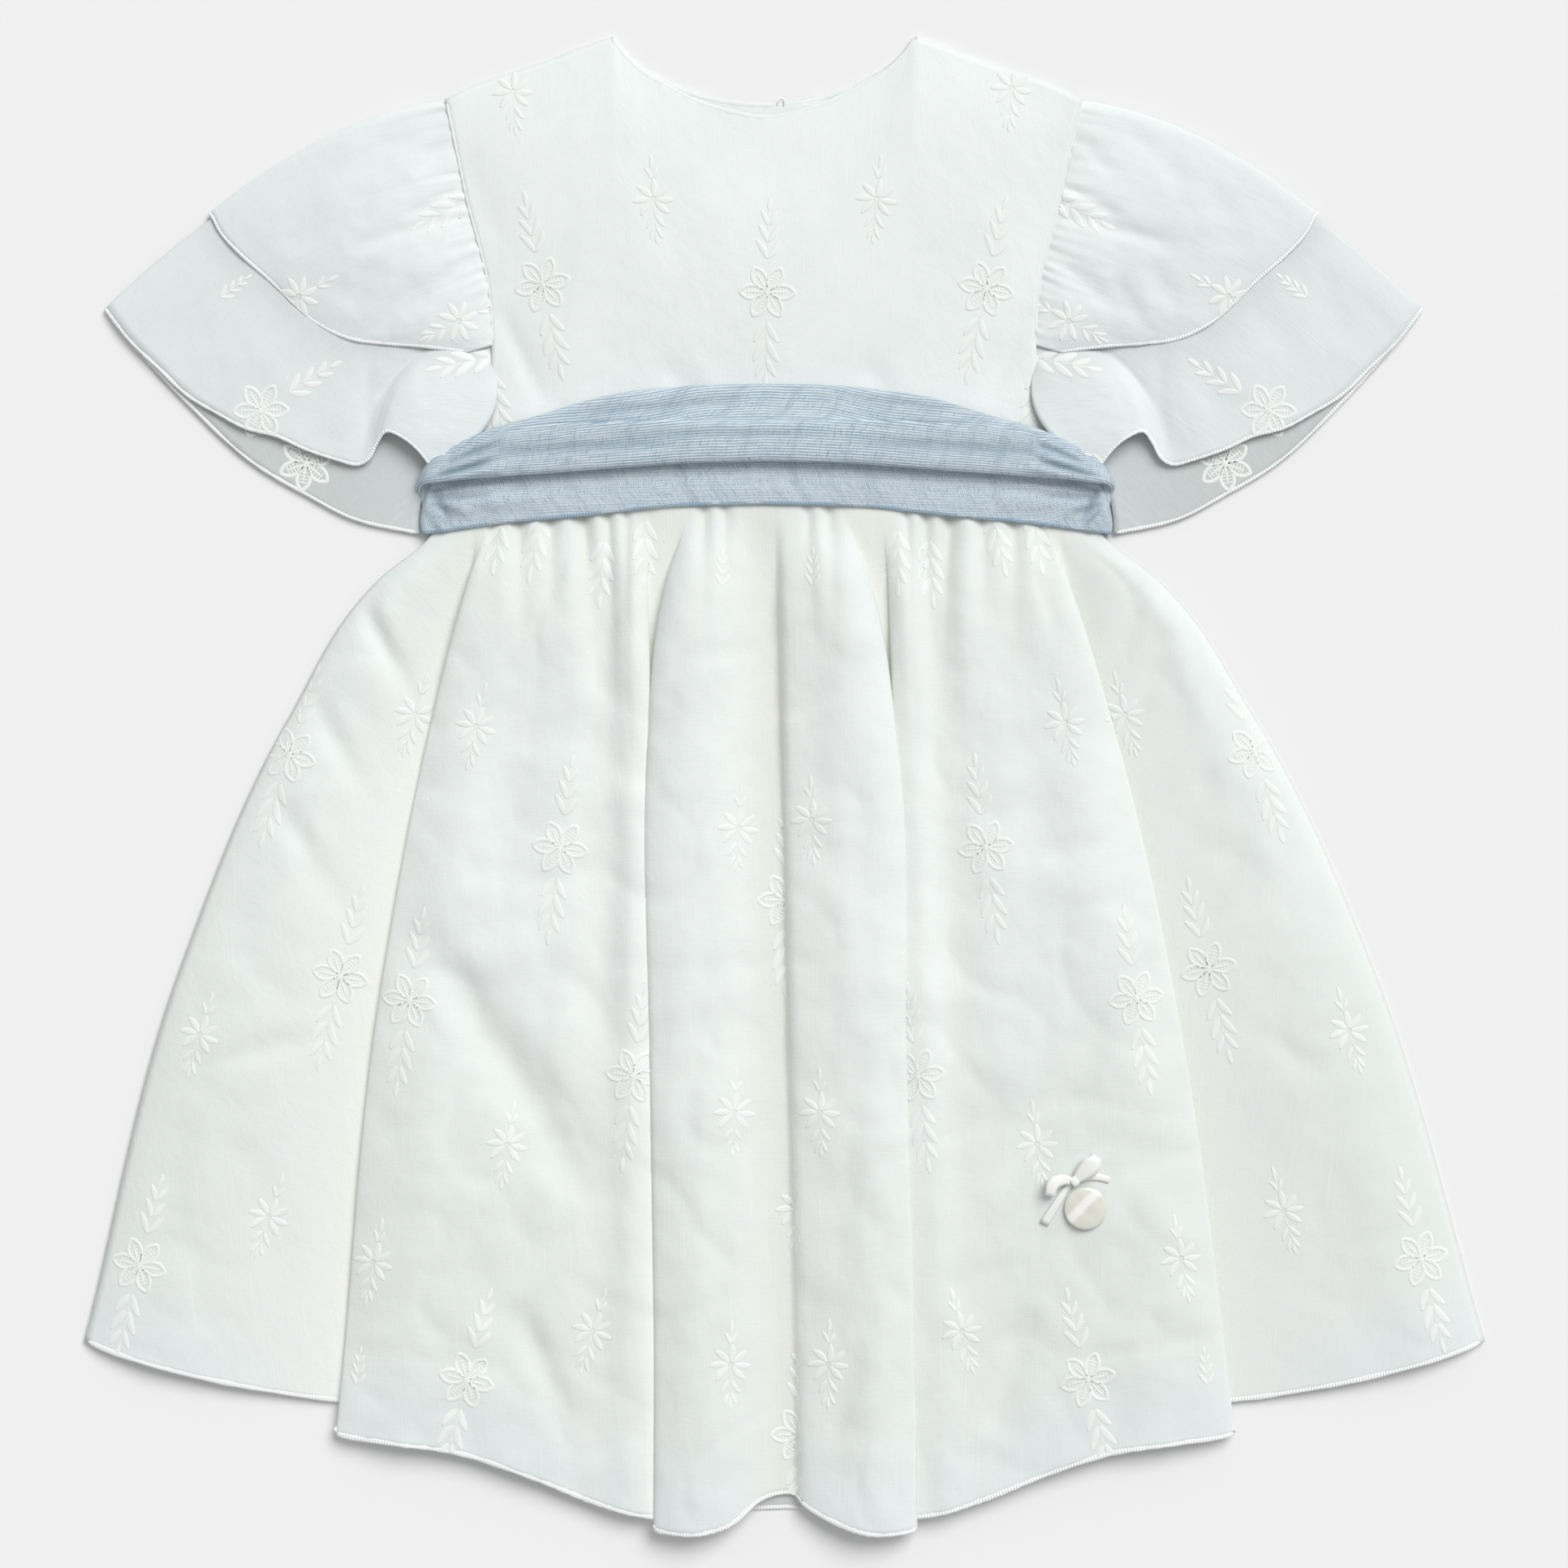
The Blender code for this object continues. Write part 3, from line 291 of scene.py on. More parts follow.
CHEST_ROWS = (
    Chest("top", 0.0, 4.4, 3.2, 2.2, 4.2),
    Chest("collar", 0.12, 4.4, 5.7, 5.5, 5.2),
    Chest("upper", 0.30, 4.4, 6.4, 7.7, 7.6),
    Chest("middle", 0.46, 4.4, 6.2, 7.6, 8.2),
    Chest("lower", 0.60, 4.4, 5.6, 6.8, 7.4),
)
FOLD_STATIONS = (0.0, 0.03, 0.08, 0.25, 0.55, 1.0)
RISE_STATIONS = (0.0, 0.025, 0.08, 0.25, 0.55, 1.0)
CHEST_ACROSS = (1.0, 0.8, 0.5, 0.0)

# Steps of the shown meshes.
SKIRT_STEPS = 132
SKIRT_BACK_STEPS = 60
SKIRT_BACK_COLUMNS = 40
BODICE_STEPS = 70
TOP_CELLS = 5
SLEEVE_STEPS = 44
RAY_CELLS = 8

# Sleeve tiers at the armhole: tucked under the bodice in front, clear of it behind. A tier whose seam
# is above the lap height dips a little over the first part of its length.
SEAM_TUCK = 0.8
SEAM_SPACE = 0.2
SEAM_LAP = 0.35
LAP_HEIGHT = 4.0
LAP_PART = 0.05
# Part of the bodice's side that the armhole takes, and the shade under an outer tier's hem.
ARMHOLE_SHARE = 0.62
SLEEVE_SHADE = 0.5
# Middle and half sizes of the raised flute, and the half width under which the underarm is lit.
FLUTE_HALF = 130.0
FLUTE_Y = 150.0
FLUTE_WIDE = 16.0
FLUTE_LONG = 20.0
UNDERARM_HALF = 166.0
UNDERARM_FADE = 26.0
UNDERARM_LIT = 0.22
# Strength and colour of a painted glow inside the thin cloth's most sunken folds, standing for the light that
# comes through it.
THROUGH_LIGHT = 0.17
THROUGH_COLOUR = (0.80, 0.775, 0.71)
# Heights between which each cloth goes from lying still to moving freely.
SKIRT_FREE = (3.0, 8.0)
BODICE_FREE = (2.0, 6.0)
OUTER_FREE = (3.2, 5.2)
PUCKER_FREE = (2.8, 3.6)
INNER_FREE = (2.4, 3.6)
SASH_FREE = (3.4, 6.0)
RIDGE_FREE = (3.6, 4.6)
CREASE_FREE = (3.0, 4.0)
SKIRT_RUMPLES = (Rumple(1.0, 46.0, 3.1), Rumple(0.55, 17.0, 8.4))
BODICE_RUMPLES = (Rumple(0.35, 55.0, 1.3), Rumple(0.12, 16.0, 9.2))
# A hollow lies below the mean of the mesh points round it: their reach, their spacing, a full depth.
HOLLOW_REACH = 16
HOLLOW_STRIDE = 4
HOLLOW_FULL = 4.0

HEM_THICK = 0.9
SLEEVE_HEM_THICK = 0.95
SASH_HEM_THICK = 0.8
HEM_PITCH = 2.4
FRONT_HEM_PITCH = 3.1
SASH_HEM_PITCH = 1.3
FRONT_BINDING = Roll(2.2, 0.8, 6.1)
BACK_BINDING = Roll(2.4, 0.8, 6.1)
ARMHOLE_SEAM = Roll(1.7, 0.75, 4.3)
THREAD_LOOP = Roll(0.8, 0.9, HEM_PITCH)
# Every roll: its sides, its puckers and slow swell, its tapered ends, and how far it sits in the cloth.
ROLL_SIDES = 10
ROLL_PUCKER = 0.07
ROLL_SWELL = 0.08
ROLL_SWELL_LENGTH = 7.3
ROLL_END = 0.35
ROLL_END_LENGTH = 2.5
ROLL_INSET = 0.42

GATHERS = (
    Gather(109.0, 111.5, 60.0, 2.6, 1.6),
    Gather(103.4, 103.0, 84.0, 3.4, -1.1),
    Gather(97.8, 97.2, 48.0, 2.7, 2.4),
    Gather(91.4, 90.6, 78.0, 3.6, -1.2),
    Gather(85.4, 85.0, 58.0, 2.6, 2.6),
    Gather(79.4, 78.2, 56.0, 3.2, -1.0),
    Gather(73.0, 67.6, 34.0, 3.0, 3.6),
    Gather(67.6, 64.0, 62.0, 2.6, -1.1),
    Gather(63.0, 60.8, 26.0, 2.2, 2.4),
    Gather(59.2, 58.5, 16.0, 2.4, -0.9),
    Gather(55.2, 56.4, -16.0, 1.6, 1.9),
    Gather(29.4, 33.4, 70.0, 2.8, -0.9),
    Gather(24.6, 26.0, 44.0, 2.2, 3.2),
    Gather(20.4, 21.2, 30.0, 2.4, -1.0),
    Gather(16.2, 17.0, 54.0, 2.0, 2.2),
    Gather(12.0, 12.4, 80.0, 2.0, -0.8),
)
SKIRT_TROUGHS = (
    Trough(-142.0, -60.0, -76.0, -164.0, 9.0, 4.0),
    Trough(-112.0, -96.0, -90.0, -132.0, 7.0, 1.2),
    Trough(-124.0, -76.0, -98.0, -60.0, 8.0, -1.0),
    Trough(-106.0, -206.0, -84.0, -254.0, 6.0, 2.4),
    Trough(-172.0, -223.0, -104.0, -231.0, 1.6, 0.7),
    Trough(-128.0, -196.0, -112.0, -250.0, 10.0, -0.8),
    Trough(-70.0, -10.0, -76.0, -100.0, 9.0, 1.1),
    Trough(-120.0, 40.0, -104.0, -30.0, 9.0, 0.8),
    Trough(-174.0, 86.0, -150.0, 40.0, 3.8, 2.0),
    Trough(-166.0, 68.0, -138.0, 20.0, 4.2, 1.9),
    Trough(-190.0, 40.0, -158.0, -16.0, 4.4, 1.6),
    Trough(-204.0, 0.0, -164.0, -64.0, 5.0, 1.8),
    Trough(-222.0, -60.0, -190.0, -92.0, 6.0, 0.9),
    Trough(-222.0, -110.0, -178.0, -98.0, 4.4, 1.8),
    Trough(-214.0, -140.0, -194.0, -208.0, 7.0, 1.1),
    Trough(-244.0, -150.0, -228.0, -210.0, 7.0, 0.9),
    Trough(142.0, -70.0, 84.0, -160.0, 9.0, 3.2),
    Trough(164.0, -112.0, 136.0, -156.0, 7.0, 1.6),
    Trough(106.0, -156.0, 130.0, -178.0, 13.0, -1.5),
    Trough(98.0, -208.0, 82.0, -256.0, 6.5, 2.1),
    Trough(170.0, -217.0, 108.0, -229.0, 1.8, 0.7),
    Trough(120.0, -196.0, 108.0, -250.0, 9.0, -0.8),
    Trough(60.0, -8.0, 72.0, -108.0, 9.0, 1.0),
    Trough(112.0, 44.0, 98.0, -30.0, 9.0, 0.8),
    Trough(148.0, 92.0, 126.0, 44.0, 3.8, 2.0),
    Trough(152.0, 60.0, 130.0, 10.0, 4.2, 1.8),
    Trough(178.0, 34.0, 150.0, -20.0, 5.0, 1.0),
    Trough(190.0, -4.0, 156.0, -66.0, 5.0, 1.8),
    Trough(208.0, -54.0, 180.0, -94.0, 6.0, 0.9),
    Trough(216.0, -116.0, 176.0, -92.0, 5.0, 1.2),
    Trough(230.0, -150.0, 202.0, -206.0, 7.0, 1.1),
    Trough(-31.0, -50.0, -38.0, -150.0, 6.0, 1.1),
    Trough(-22.0, -150.0, -30.0, -236.0, 6.0, 0.9),
    Trough(31.0, -100.0, 22.0, -196.0, 5.5, 1.1),
    Trough(26.0, 10.0, 33.0, -76.0, 6.0, 0.9),
    Trough(34.0, -200.0, 20.0, -262.0, 5.0, 0.9),
)
BODICE_TROUGHS = (
    Trough(-112.5, 188.0, -95.5, 150.0, 3.4, 1.6),
    Trough(-103.0, 176.0, -84.0, 140.0, 7.0, 0.9),
    Trough(97.5, 188.0, 80.5, 150.0, 3.4, 1.6),
    Trough(88.0, 176.0, 70.0, 140.0, 7.0, 0.9),
    Trough(-128.0, 252.0, -112.0, 212.0, 5.0, 0.7),
    Trough(113.0, 252.0, 97.0, 212.0, 5.0, 0.7),
    Trough(-48.0, 166.0, -34.0, 152.0, 5.0, 0.9),
    Trough(30.0, 166.0, 44.0, 152.0, 5.0, 0.8),
    Trough(-60.0, 256.0, -36.0, 206.0, 12.0, 0.5),
    Trough(44.0, 256.0, 22.0, 206.0, 12.0, 0.5),
)
SLEEVE_TROUGHS = (
    Trough(-132.0, 256.0, -146.0, 240.0, 3.0, 1.2),
    Trough(-126.0, 236.0, -150.0, 224.0, 2.6, 1.4),
    Trough(-126.0, 226.0, -170.0, 212.0, 3.6, 1.6),
    Trough(-122.0, 208.0, -150.0, 186.0, 4.6, 1.5),
    Trough(-150.0, 262.0, -176.0, 236.0, 5.0, 0.9),
    Trough(-186.0, 236.0, -196.0, 210.0, 6.0, 0.9),
    Trough(-160.0, 206.0, -172.0, 188.0, 5.0, 1.2),
    Trough(-146.0, 200.0, -160.0, 178.0, 3.6, 1.1),
    Trough(-198.0, 196.0, -218.0, 166.0, 6.0, 1.3),
    Trough(-178.0, 172.0, -190.0, 140.0, 5.0, 1.3),
    Trough(-228.0, 196.0, -240.0, 172.0, 5.0, 1.0),
    Trough(-164.0, 172.0, -165.0, 130.0, 3.4, 1.8),
    Trough(-149.0, 170.0, -146.0, 150.0, 4.0, -0.7),
    Trough(-212.0, 180.0, -196.0, 150.0, 4.0, -0.8),
)


def both_ends(rows, shallower=0.0):
    """Troughs at the sash's left end, and their mirror images at its right end."""
    twice_middle = -14.0
    return rows + tuple(row._replace(x=twice_middle - row.x, end_x=twice_middle - row.end_x,
                                     depth=row.depth - shallower) for row in rows)


SASH_TROUGHS = (
    Trough(-124.0, 130.0, -40.0, 134.5, 2.4, 0.8),
    Trough(-78.0, 137.5, 20.0, 138.0, 2.0, 0.5),
    Trough(106.0, 130.5, 30.0, 134.5, 2.4, 0.8),
    Trough(-86.0, 146.0, -16.0, 151.0, 2.2, 0.6),
    Trough(-40.0, 146.0, 30.0, 148.0, 2.4, -0.4),
    Trough(20.0, 152.0, 78.0, 147.0, 2.2, 0.5),
) + both_ends((
    Trough(-138.5, 117.0, -131.5, 103.0, 1.5, 1.1),
    Trough(-136.0, 121.0, -114.0, 127.0, 1.5, 1.2),
    Trough(-132.0, 126.0, -112.0, 134.5, 1.4, 0.9),
))
SASH_RIDGES = both_ends((
    Trough(-134.0, 110.6, -98.0, 112.2, 3.0, 1.5),
    Trough(-131.0, 115.6, -106.0, 117.6, 1.3, 1.4),
    Trough(-142.0, 111.6, -134.0, 99.6, 1.7, 1.8),
    Trough(-140.5, 113.6, -124.0, 106.4, 1.5, 1.5),
    Trough(-140.0, 118.5, -110.0, 124.4, 2.0, 2.0),
    Trough(-134.0, 122.5, -112.0, 130.5, 1.6, 1.6),
), shallower=0.1)
# Painted shade: dark lines between the creases that run out from the pinch at each end of the sash.
SASH_PINCHES = both_ends((
    Trough(-141.5, 112.4, -116.0, 114.4, 0.8, 0.9),
    Trough(-140.5, 110.4, -127.0, 108.2, 0.8, 0.9),
    Trough(-139.5, 108.4, -132.5, 101.6, 0.8, 0.8),
    Trough(-141.0, 115.2, -122.0, 119.6, 0.7, 0.8),
    Trough(-139.0, 120.6, -118.0, 127.4, 0.8, 0.7),
))

# Plan points of each ribbon from its knot, with its half width there.
BOW_ARMS = (
    (Ribbon(0.0, 0.0, 1.3), Ribbon(3.4, 3.4, 3.1), Ribbon(6.6, 6.6, 3.7), Ribbon(8.4, 9.0, 2.2)),
    (Ribbon(0.0, 0.0, 1.2), Ribbon(-5.0, 0.7, 2.2), Ribbon(-8.4, -0.8, 2.5), Ribbon(-9.6, -4.6, 2.0)),
)
BOW_TAILS = (
    (Ribbon(-0.8, -0.6, 1.0), Ribbon(-3.8, -4.2, 1.3), Ribbon(-6.8, -9.0, 1.6), Ribbon(-11.8, -17.0, 1.8)),
    (Ribbon(0.6, 0.2, 1.0), Ribbon(5.0, 1.4, 1.2), Ribbon(9.6, 1.6, 1.4), Ribbon(14.0, 0.4, 1.2)),
)
DISC_PROFILE = (
    Ring(0.0, 1.5), Ring(3.0, 1.48), Ring(5.6, 1.38), Ring(7.2, 1.2), Ring(8.0, 0.98), Ring(8.35, 0.7),
    Ring(8.4, 0.45), Ring(8.2, 0.15), Ring(7.8, 0.0), Ring(0.0, 0.0),
)
BUTTON_PROFILE = (
    Ring(0.0, 0.75), Ring(2.0, 0.78), Ring(2.7, 1.0), Ring(3.2, 1.36), Ring(3.6, 1.4), Ring(3.95, 1.15),
    Ring(4.0, 0.7), Ring(3.8, 0.25), Ring(3.2, 0.0), Ring(0.0, 0.0),
)
NECK_LOOP = (Spot(-2.6, 268.6), Spot(-2.3, 269.8), Spot(-1.0, 271.0), Spot(0.0, 270.6), Spot(0.2, 269.4),
             Spot(0.0, 268.4))
NECK_LOOP_LIFT = 1.2

# Sprigs by the place of their flower on the page, and their lean in degrees.
SKIRT_SPRIGS = (
    Sprig("big", -195.5, 11.5, 17.6), Sprig("star", -145.9, 27.5, 16.0), Sprig("star", -121.3, 22.7, 12.0),
    Sprig("big", -88.3, -25.3, 7.5), Sprig("big", -175.4, -76.0, 13.7), Sprig("big", -147.8, -85.4, 8.4),
    Sprig("star", -230.7, -98.9, 16.0), Sprig("big", -254.7, -190.1, 14.0),
    Sprig("star", -203.5, -170.9, 18.0), Sprig("star", -109.1, -142.1, 8.0),
    Sprig("star", -161.9, -188.5, 11.0), Sprig("star", -75.5, -215.7, 16.0),
    Sprig("big", -125.1, -234.9, 14.5), Sprig("big", -59.5, -115.0, 7.0),
    Sprig("star", -17.9, -17.3, 3.0), Sprig("star", -19.5, -129.3, 2.0),
    Sprig("star", 4.8, -168.0, 0.0), Sprig("big", 5.8, -257.3, 0.0), Sprig("big", 0.6, -46.0, 0.0),
    Sprig("star", 10.9, -14.1, -3.0), Sprig("star", 14.1, -129.3, -2.0), Sprig("star", -21.0, -228.5, 0.0),
    Sprig("star", 17.5, -228.5, 0.0),
    Sprig("star", 110.7, 24.3, -12.0), Sprig("star", 134.7, 27.5, -16.0), Sprig("big", 79.4, -25.0, -7.5),
    Sprig("big", 185.6, 13.0, -17.6), Sprig("big", 138.9, -84.5, -8.4), Sprig("big", 167.7, -73.3, -13.7),
    Sprig("big", 52.5, -115.0, -7.0), Sprig("star", 223.0, -97.3, -16.0), Sprig("star", 99.8, -142.1, -8.0),
    Sprig("star", 197.4, -168.6, -16.0), Sprig("big", 251.5, -187.5, -14.0),
    Sprig("star", 156.5, -187.0, -11.0), Sprig("star", 70.1, -215.7, -16.0),
    Sprig("big", 119.7, -235.0, -14.0),
    Sprig("spray", -113.0, 97.0, 8.0), Sprig("spray", -98.0, 94.0, 12.0), Sprig("spray", -54.8, 92.0, 0.0),
    Sprig("spray", -72.0, 84.0, 4.0), Sprig("bud", -24.4, 86.0, 0.0), Sprig("bud", 11.0, 86.0, 0.0),
    Sprig("spray", 44.8, 88.0, 0.0), Sprig("spray", 58.0, 84.0, -4.0), Sprig("spray", 84.6, 96.0, -12.0),
    Sprig("spray", 100.0, 97.0, -8.0),
    Sprig("bud", -168.0, -229.0, 6.0), Sprig("bud", 166.0, -229.0, -6.0),
)
BODICE_SPRIGS = (
    Sprig("big", -6.7, 193.9, 1.0), Sprig("big", -95.4, 197.1, -12.0), Sprig("big", 79.7, 195.5, 12.0),
    Sprig("star", -51.5, 230.7, -5.0), Sprig("star", 36.5, 230.7, 5.0),
    Sprig("star", -107.0, 273.6, -4.0), Sprig("star", 90.0, 274.9, 4.0),
    Sprig("spray", -113.5, 151.0, -14.0), Sprig("spray", 99.0, 151.0, 14.0),
)
OUTER_SPRIGS = (
    Sprig("spray", -134.0, 225.6, 62.0), Sprig("star", -128.3, 182.7, 62.0),
    Sprig("star", -191.5, 192.5, 62.0),
)
INNER_SPRIGS = (
    Sprig("big_top", -206.7, 147.5, 58.0), Sprig("bud", -216.3, 197.1, 54.0),
    Sprig("spray", -127.0, 166.0, 78.0),
    Sprig("flower", -189.1, 126.7, 40.0), Sprig("bud", -133.0, 128.0, 70.0),
)


def slopes(knots, values):
    """Tangents of a smooth line through values at uneven knots."""
    steps = [(b - a) / (t - s) for a, b, s, t in zip(values, values[1:], knots, knots[1:])]
    inner = [(p * (c - b) + q * (b - a)) / (c - a)
             for p, q, a, b, c in zip(steps, steps[1:], knots, knots[1:], knots[2:])]
    return [steps[0]] + inner + [steps[-1]]


def between(knots, values, tangents, index, part):
    """The smooth line's value at a part of the way from one knot to the next."""
    span = knots[index + 1] - knots[index]
    square, cube = part * part, part * part * part
    return (values[index] * (2 * cube - 3 * square + 1)
            + tangents[index] * ((cube - 2 * square + part) * span)
            + values[index + 1] * (3 * square - 2 * cube)
            + tangents[index + 1] * ((cube - square) * span))


def smooth(knots, values, at):
    """A smooth curve read at one place, held flat beyond its ends."""
    at = min(max(at, knots[0]), knots[-1])
    index = max(i for i in range(len(knots) - 1) if knots[i] <= at)
    part = (at - knots[index]) / (knots[index + 1] - knots[index])
    return between(knots, values, slopes(knots, values), index, part)


def through(points, cells):
    """Points of a smooth line through points, with so many steps in each span."""
    knots = [0.0]
    for start, end in zip(points, points[1:]):
        knots.append(knots[-1] + math.sqrt((end - start).length))
    tangents = slopes(knots, points)
    line = [between(knots, points, tangents, index, step / count)
            for index, count in enumerate(cells) for step in range(count)]
    return line + [points[-1]]


def read(table, field, y):
    """One field of a table whose rows run down the page, at a height on the page."""
    return smooth([row.y for row in table[::-1]], [getattr(row, field) for row in table[::-1]], y)


def centre_x(y):
    """Where the dress's leaning middle line crosses a height on the page."""
    return read(CENTRE_LINE, "x", y)


def placed(half, y, rise, side):
    """A point in millimetres from a half width, a height on the page and a rise off the floor."""
    return Vector((side * half + centre_x(y), y, rise))


def side_half(y):
    """Half width of the bodice at its armhole and side seam."""
    return read(SIDE_LINE, "half", y)


def waist_y(half):
    """Height of the waist seam on the page, lower towards the sides."""
    return WAIST_Y - WAIST_DROP * (half / WAIST_HALF) ** 2


def waist_rise(half):
    """Height of the front cloth where the bodice meets the skirt."""
    return WAIST_SIDE_RISE + WAIST_CROWN * max(0.0, 1.0 - (abs(half) / WAIST_HALF) ** 4)


def eased(part):
    """From one down to nothing as part goes from nothing to one."""
    part = min(1.0, max(0.0, part))
    return 1.0 - part * part * (3.0 - 2.0 * part)


def back_rise(half, y):
    """The back lies on the floor and lifts only over the sash and the button."""
    distance = max(0.0, SASH_BACK_HEM_Y - y, y - SASH_BACK_TOP_Y)
    over_button = math.hypot(half, y - BUTTON_Y) - BUTTON_CLEAR
    return REST + SASH_STEP * eased(distance / SASH_EASE) + BUTTON_LIFT * eased(over_button / BUTTON_EASE)


def as_grid(rows):
    """Rows of points in millimetres as an array of rows, columns and coordinates."""
    return np.array([[tuple(point) for point in row] for row in rows])


def troughs(grid, table):
    """How far the table's soft troughs pull each point of a grid down."""
    x, y = grid[..., 0], grid[..., 1]
    drop = np.zeros(x.shape)
    for row in table:
        run_x, run_y = row.end_x - row.x, row.end_y - row.y
        length = math.hypot(run_x, run_y)
        along = ((x - row.x) * run_x + (y - row.y) * run_y) / length ** 2
        across = ((x - row.x) * run_y - (y - row.y) * run_x) / length
        reach = np.clip(1.0 - np.abs(2.0 * along - 1.0) ** 3 / 1.3, 0.0, 1.0)
        drop += row.depth * reach * np.exp(-((across / row.width) ** 2))
    return drop


def mirrored(table):
    """The troughs of the other side, laid over about the leaning middle line."""
    return [row._replace(x=2 * centre_x(row.y) - row.x, end_x=2 * centre_x(row.end_y) - row.end_x)
            for row in table]


def rumpled(grid, rumples):
    """Heights of a laid cloth's uneven soft dents, from one or more layers of them."""
    flat = grid.reshape(-1, 3)
    total = np.zeros(len(flat))
    for row in rumples:
        total += row.depth * np.array([noise.fractal(Vector((p[0] / row.scale, p[1] / row.scale, row.seed)),
                                                     0.9, 2.1, 3) for p in flat])
    return total.reshape(grid.shape[:2])


def crinkle(grid, scale, seed):
    """Sharp-crested creases, from nothing to about one."""
    flat = grid.reshape(-1, 3)
    heights = [1.0 - abs(noise.noise(Vector((p[0] / scale, p[1] / scale, seed)))) * 2.0 for p in flat]
    return np.clip(np.array(heights).reshape(grid.shape[:2]), 0.0, 1.0) ** 3


def freed(grid, low, high):
    """Share of each point's own movement: none near the floor, all of it well above."""
    return np.clip((grid[..., 2] - low) / (high - low), 0.0, 1.0)


def fold_half(fold, along):
    """Half width of a fold line at a part of its length."""
    return smooth(FOLD_STATIONS, (fold.waist, fold.sash, fold.yoke, fold.upper, fold.middle, fold.hem), along)


def fold_point(fold, side, along):
    """One fold line of the front skirt at a part of its length."""
    half = fold_half(fold, along)
    start = waist_rise(fold.waist)
    rise = smooth(RISE_STATIONS,
                  (start, start, fold.yoke_rise, fold.upper_rise, fold.middle_rise, fold.hem_rise), along)
    top = waist_y(fold.waist) - SEAM_GAP
    y = top + (fold.hem_y - top) * along
    return placed(half, y, max(rise, back_rise(half, y) + CLOTH + GAP), side)


def gather_drop(x, y, loose):
    """Depth of the narrow gather valleys under the waist at each point."""
    drop = np.zeros(x.shape)
    middle = np.array([centre_x(value) for value in y[:, 0]])[:, None]
    for row in GATHERS:
        top = waist_y(row.half)
        part = np.clip((top - y) / (top - row.end_y), 0.0, 1.0)
        for side in (-1, 1):
            line = middle + side * (row.half + (row.end_half - row.half) * part)
            reach = np.clip(part / 0.04, 0.0, 1.0) * (1.0 - part) ** 0.8
            width = row.width * (1.0 + 1.2 * part)
            drop += row.depth * reach * np.exp(-np.abs((x - line) / width) ** 1.5)
    return drop * loose


def skirt_front_parts():
    """Front skirt's points, its painted warm shade in folds and hollows, and its painted glow in its folds.
    """
    folds = [(fold, -1) for fold in HALF_FOLDS + CENTRE_FOLDS] + [(fold, 1) for fold in HALF_FOLDS[::-1]]
    finer = {fold.name: fold.cells * (3 if fold.gather else 2) for fold in HALF_FOLDS + CENTRE_FOLDS}
    cells = [finer[fold.name] for fold in HALF_FOLDS + CENTRE_FOLDS[:-1]] + [4]
    cells += [finer[fold.name] for fold in HALF_FOLDS[-2::-1]]
    tones = through([Vector((side * fold.waist, fold.gather, fold.warm)) for fold, side in folds], cells)
    rows = [through([fold_point(fold, side, step / SKIRT_STEPS) for fold, side in folds], cells)
            for step in range(SKIRT_STEPS + 1)]
    grid = as_grid(rows)
    loose = np.clip(np.array([tone.y for tone in tones]), 0.0, 1.0)[None, :]
    warm = np.clip(np.array([tone.z for tone in tones]), 0.0, 1.0)[None, :]
    gathers = gather_drop(grid[..., 0], grid[..., 1], loose)
    free = freed(grid, *SKIRT_FREE)
    grid[..., 2] -= gathers
    grid[..., 2] -= free * troughs(grid, SKIRT_TROUGHS)
    grid[..., 2] += free * rumpled(grid, SKIRT_RUMPLES)
    grid[..., 2] -= free * 0.75 * crinkle(grid, scale=34.0, seed=5.7)
    # Painted glow in the folds, weaker on the right, which the key light already reaches.
    beside = grid[..., 0] - centre_x(WAIST_Y)
    off_middle = np.clip((np.abs(beside) - 24.0) / 12.0, 0.0, 1.0)
    less_on_right = 1.0 - 0.65 * np.clip(beside / 120.0, 0.0, 1.0)
    glow = warm * off_middle * less_on_right * (0.3 + 0.7 * ramp(grid, 0.04, 0.36))
    # Painted warm shade, more in the gather valleys and hollows.
    warm = np.clip(warm + 0.40 * np.clip(gathers, 0.0, 2.5) + 0.2 * hollowness(grid), 0.0, 1.0)
    return grid, warm, glow


def ramp(grid, start, full):
    """From nothing above one part of a cloth's length to one below another."""
    part = np.clip((np.linspace(0.0, 1.0, grid.shape[0])[:, None] - start) / (full - start), 0.0, 1.0)
    return np.broadcast_to(part * part * (3.0 - 2.0 * part), grid.shape[:2])


def thinning(grid):
    """How much the floor's shade shows through the skirt: some at the waist, most at the hem."""
    reach = np.abs(grid[..., 0]) / np.max(np.abs(grid[..., 0]))
    under_waist = 0.62 - 0.36 * ramp(grid, 0.02, 0.22)
    return np.clip(under_waist + 0.7 * ramp(grid, 0.36, 0.84) + 0.42 * reach ** 2, 0.0, 1.1)


def skirt_back_grid():
    """Plain back skirt, flat on the floor but for its lift over the sash."""
    hem_halves = [edge.half for edge in SKIRT_BACK_HEM]
    hem_ys = [edge.y for edge in SKIRT_BACK_HEM]
    side_seam = HALF_FOLDS[0]
    rows = []
    for step in range(SKIRT_BACK_STEPS + 1):
        along = step / SKIRT_BACK_STEPS
        reach = fold_half(side_seam, along)
        line = []
        for column in range(-SKIRT_BACK_COLUMNS, SKIRT_BACK_COLUMNS + 1):
            share = abs(column) / SKIRT_BACK_COLUMNS
            top = waist_y(share * WAIST_HALF) - SEAM_GAP
            y = top + (smooth(hem_halves, hem_ys, share * side_seam.hem) - top) * along
            half = share * reach
            line.append(placed(half, y, back_rise(half, y), math.copysign(1, column)))
        rows.append(line)
    grid = as_grid(rows)
    grid[..., 2] += 0.25 * np.clip(rumpled(grid, [Rumple(1.0, 30.0, 6.2)]), 0.0, 1.0)
    return grid


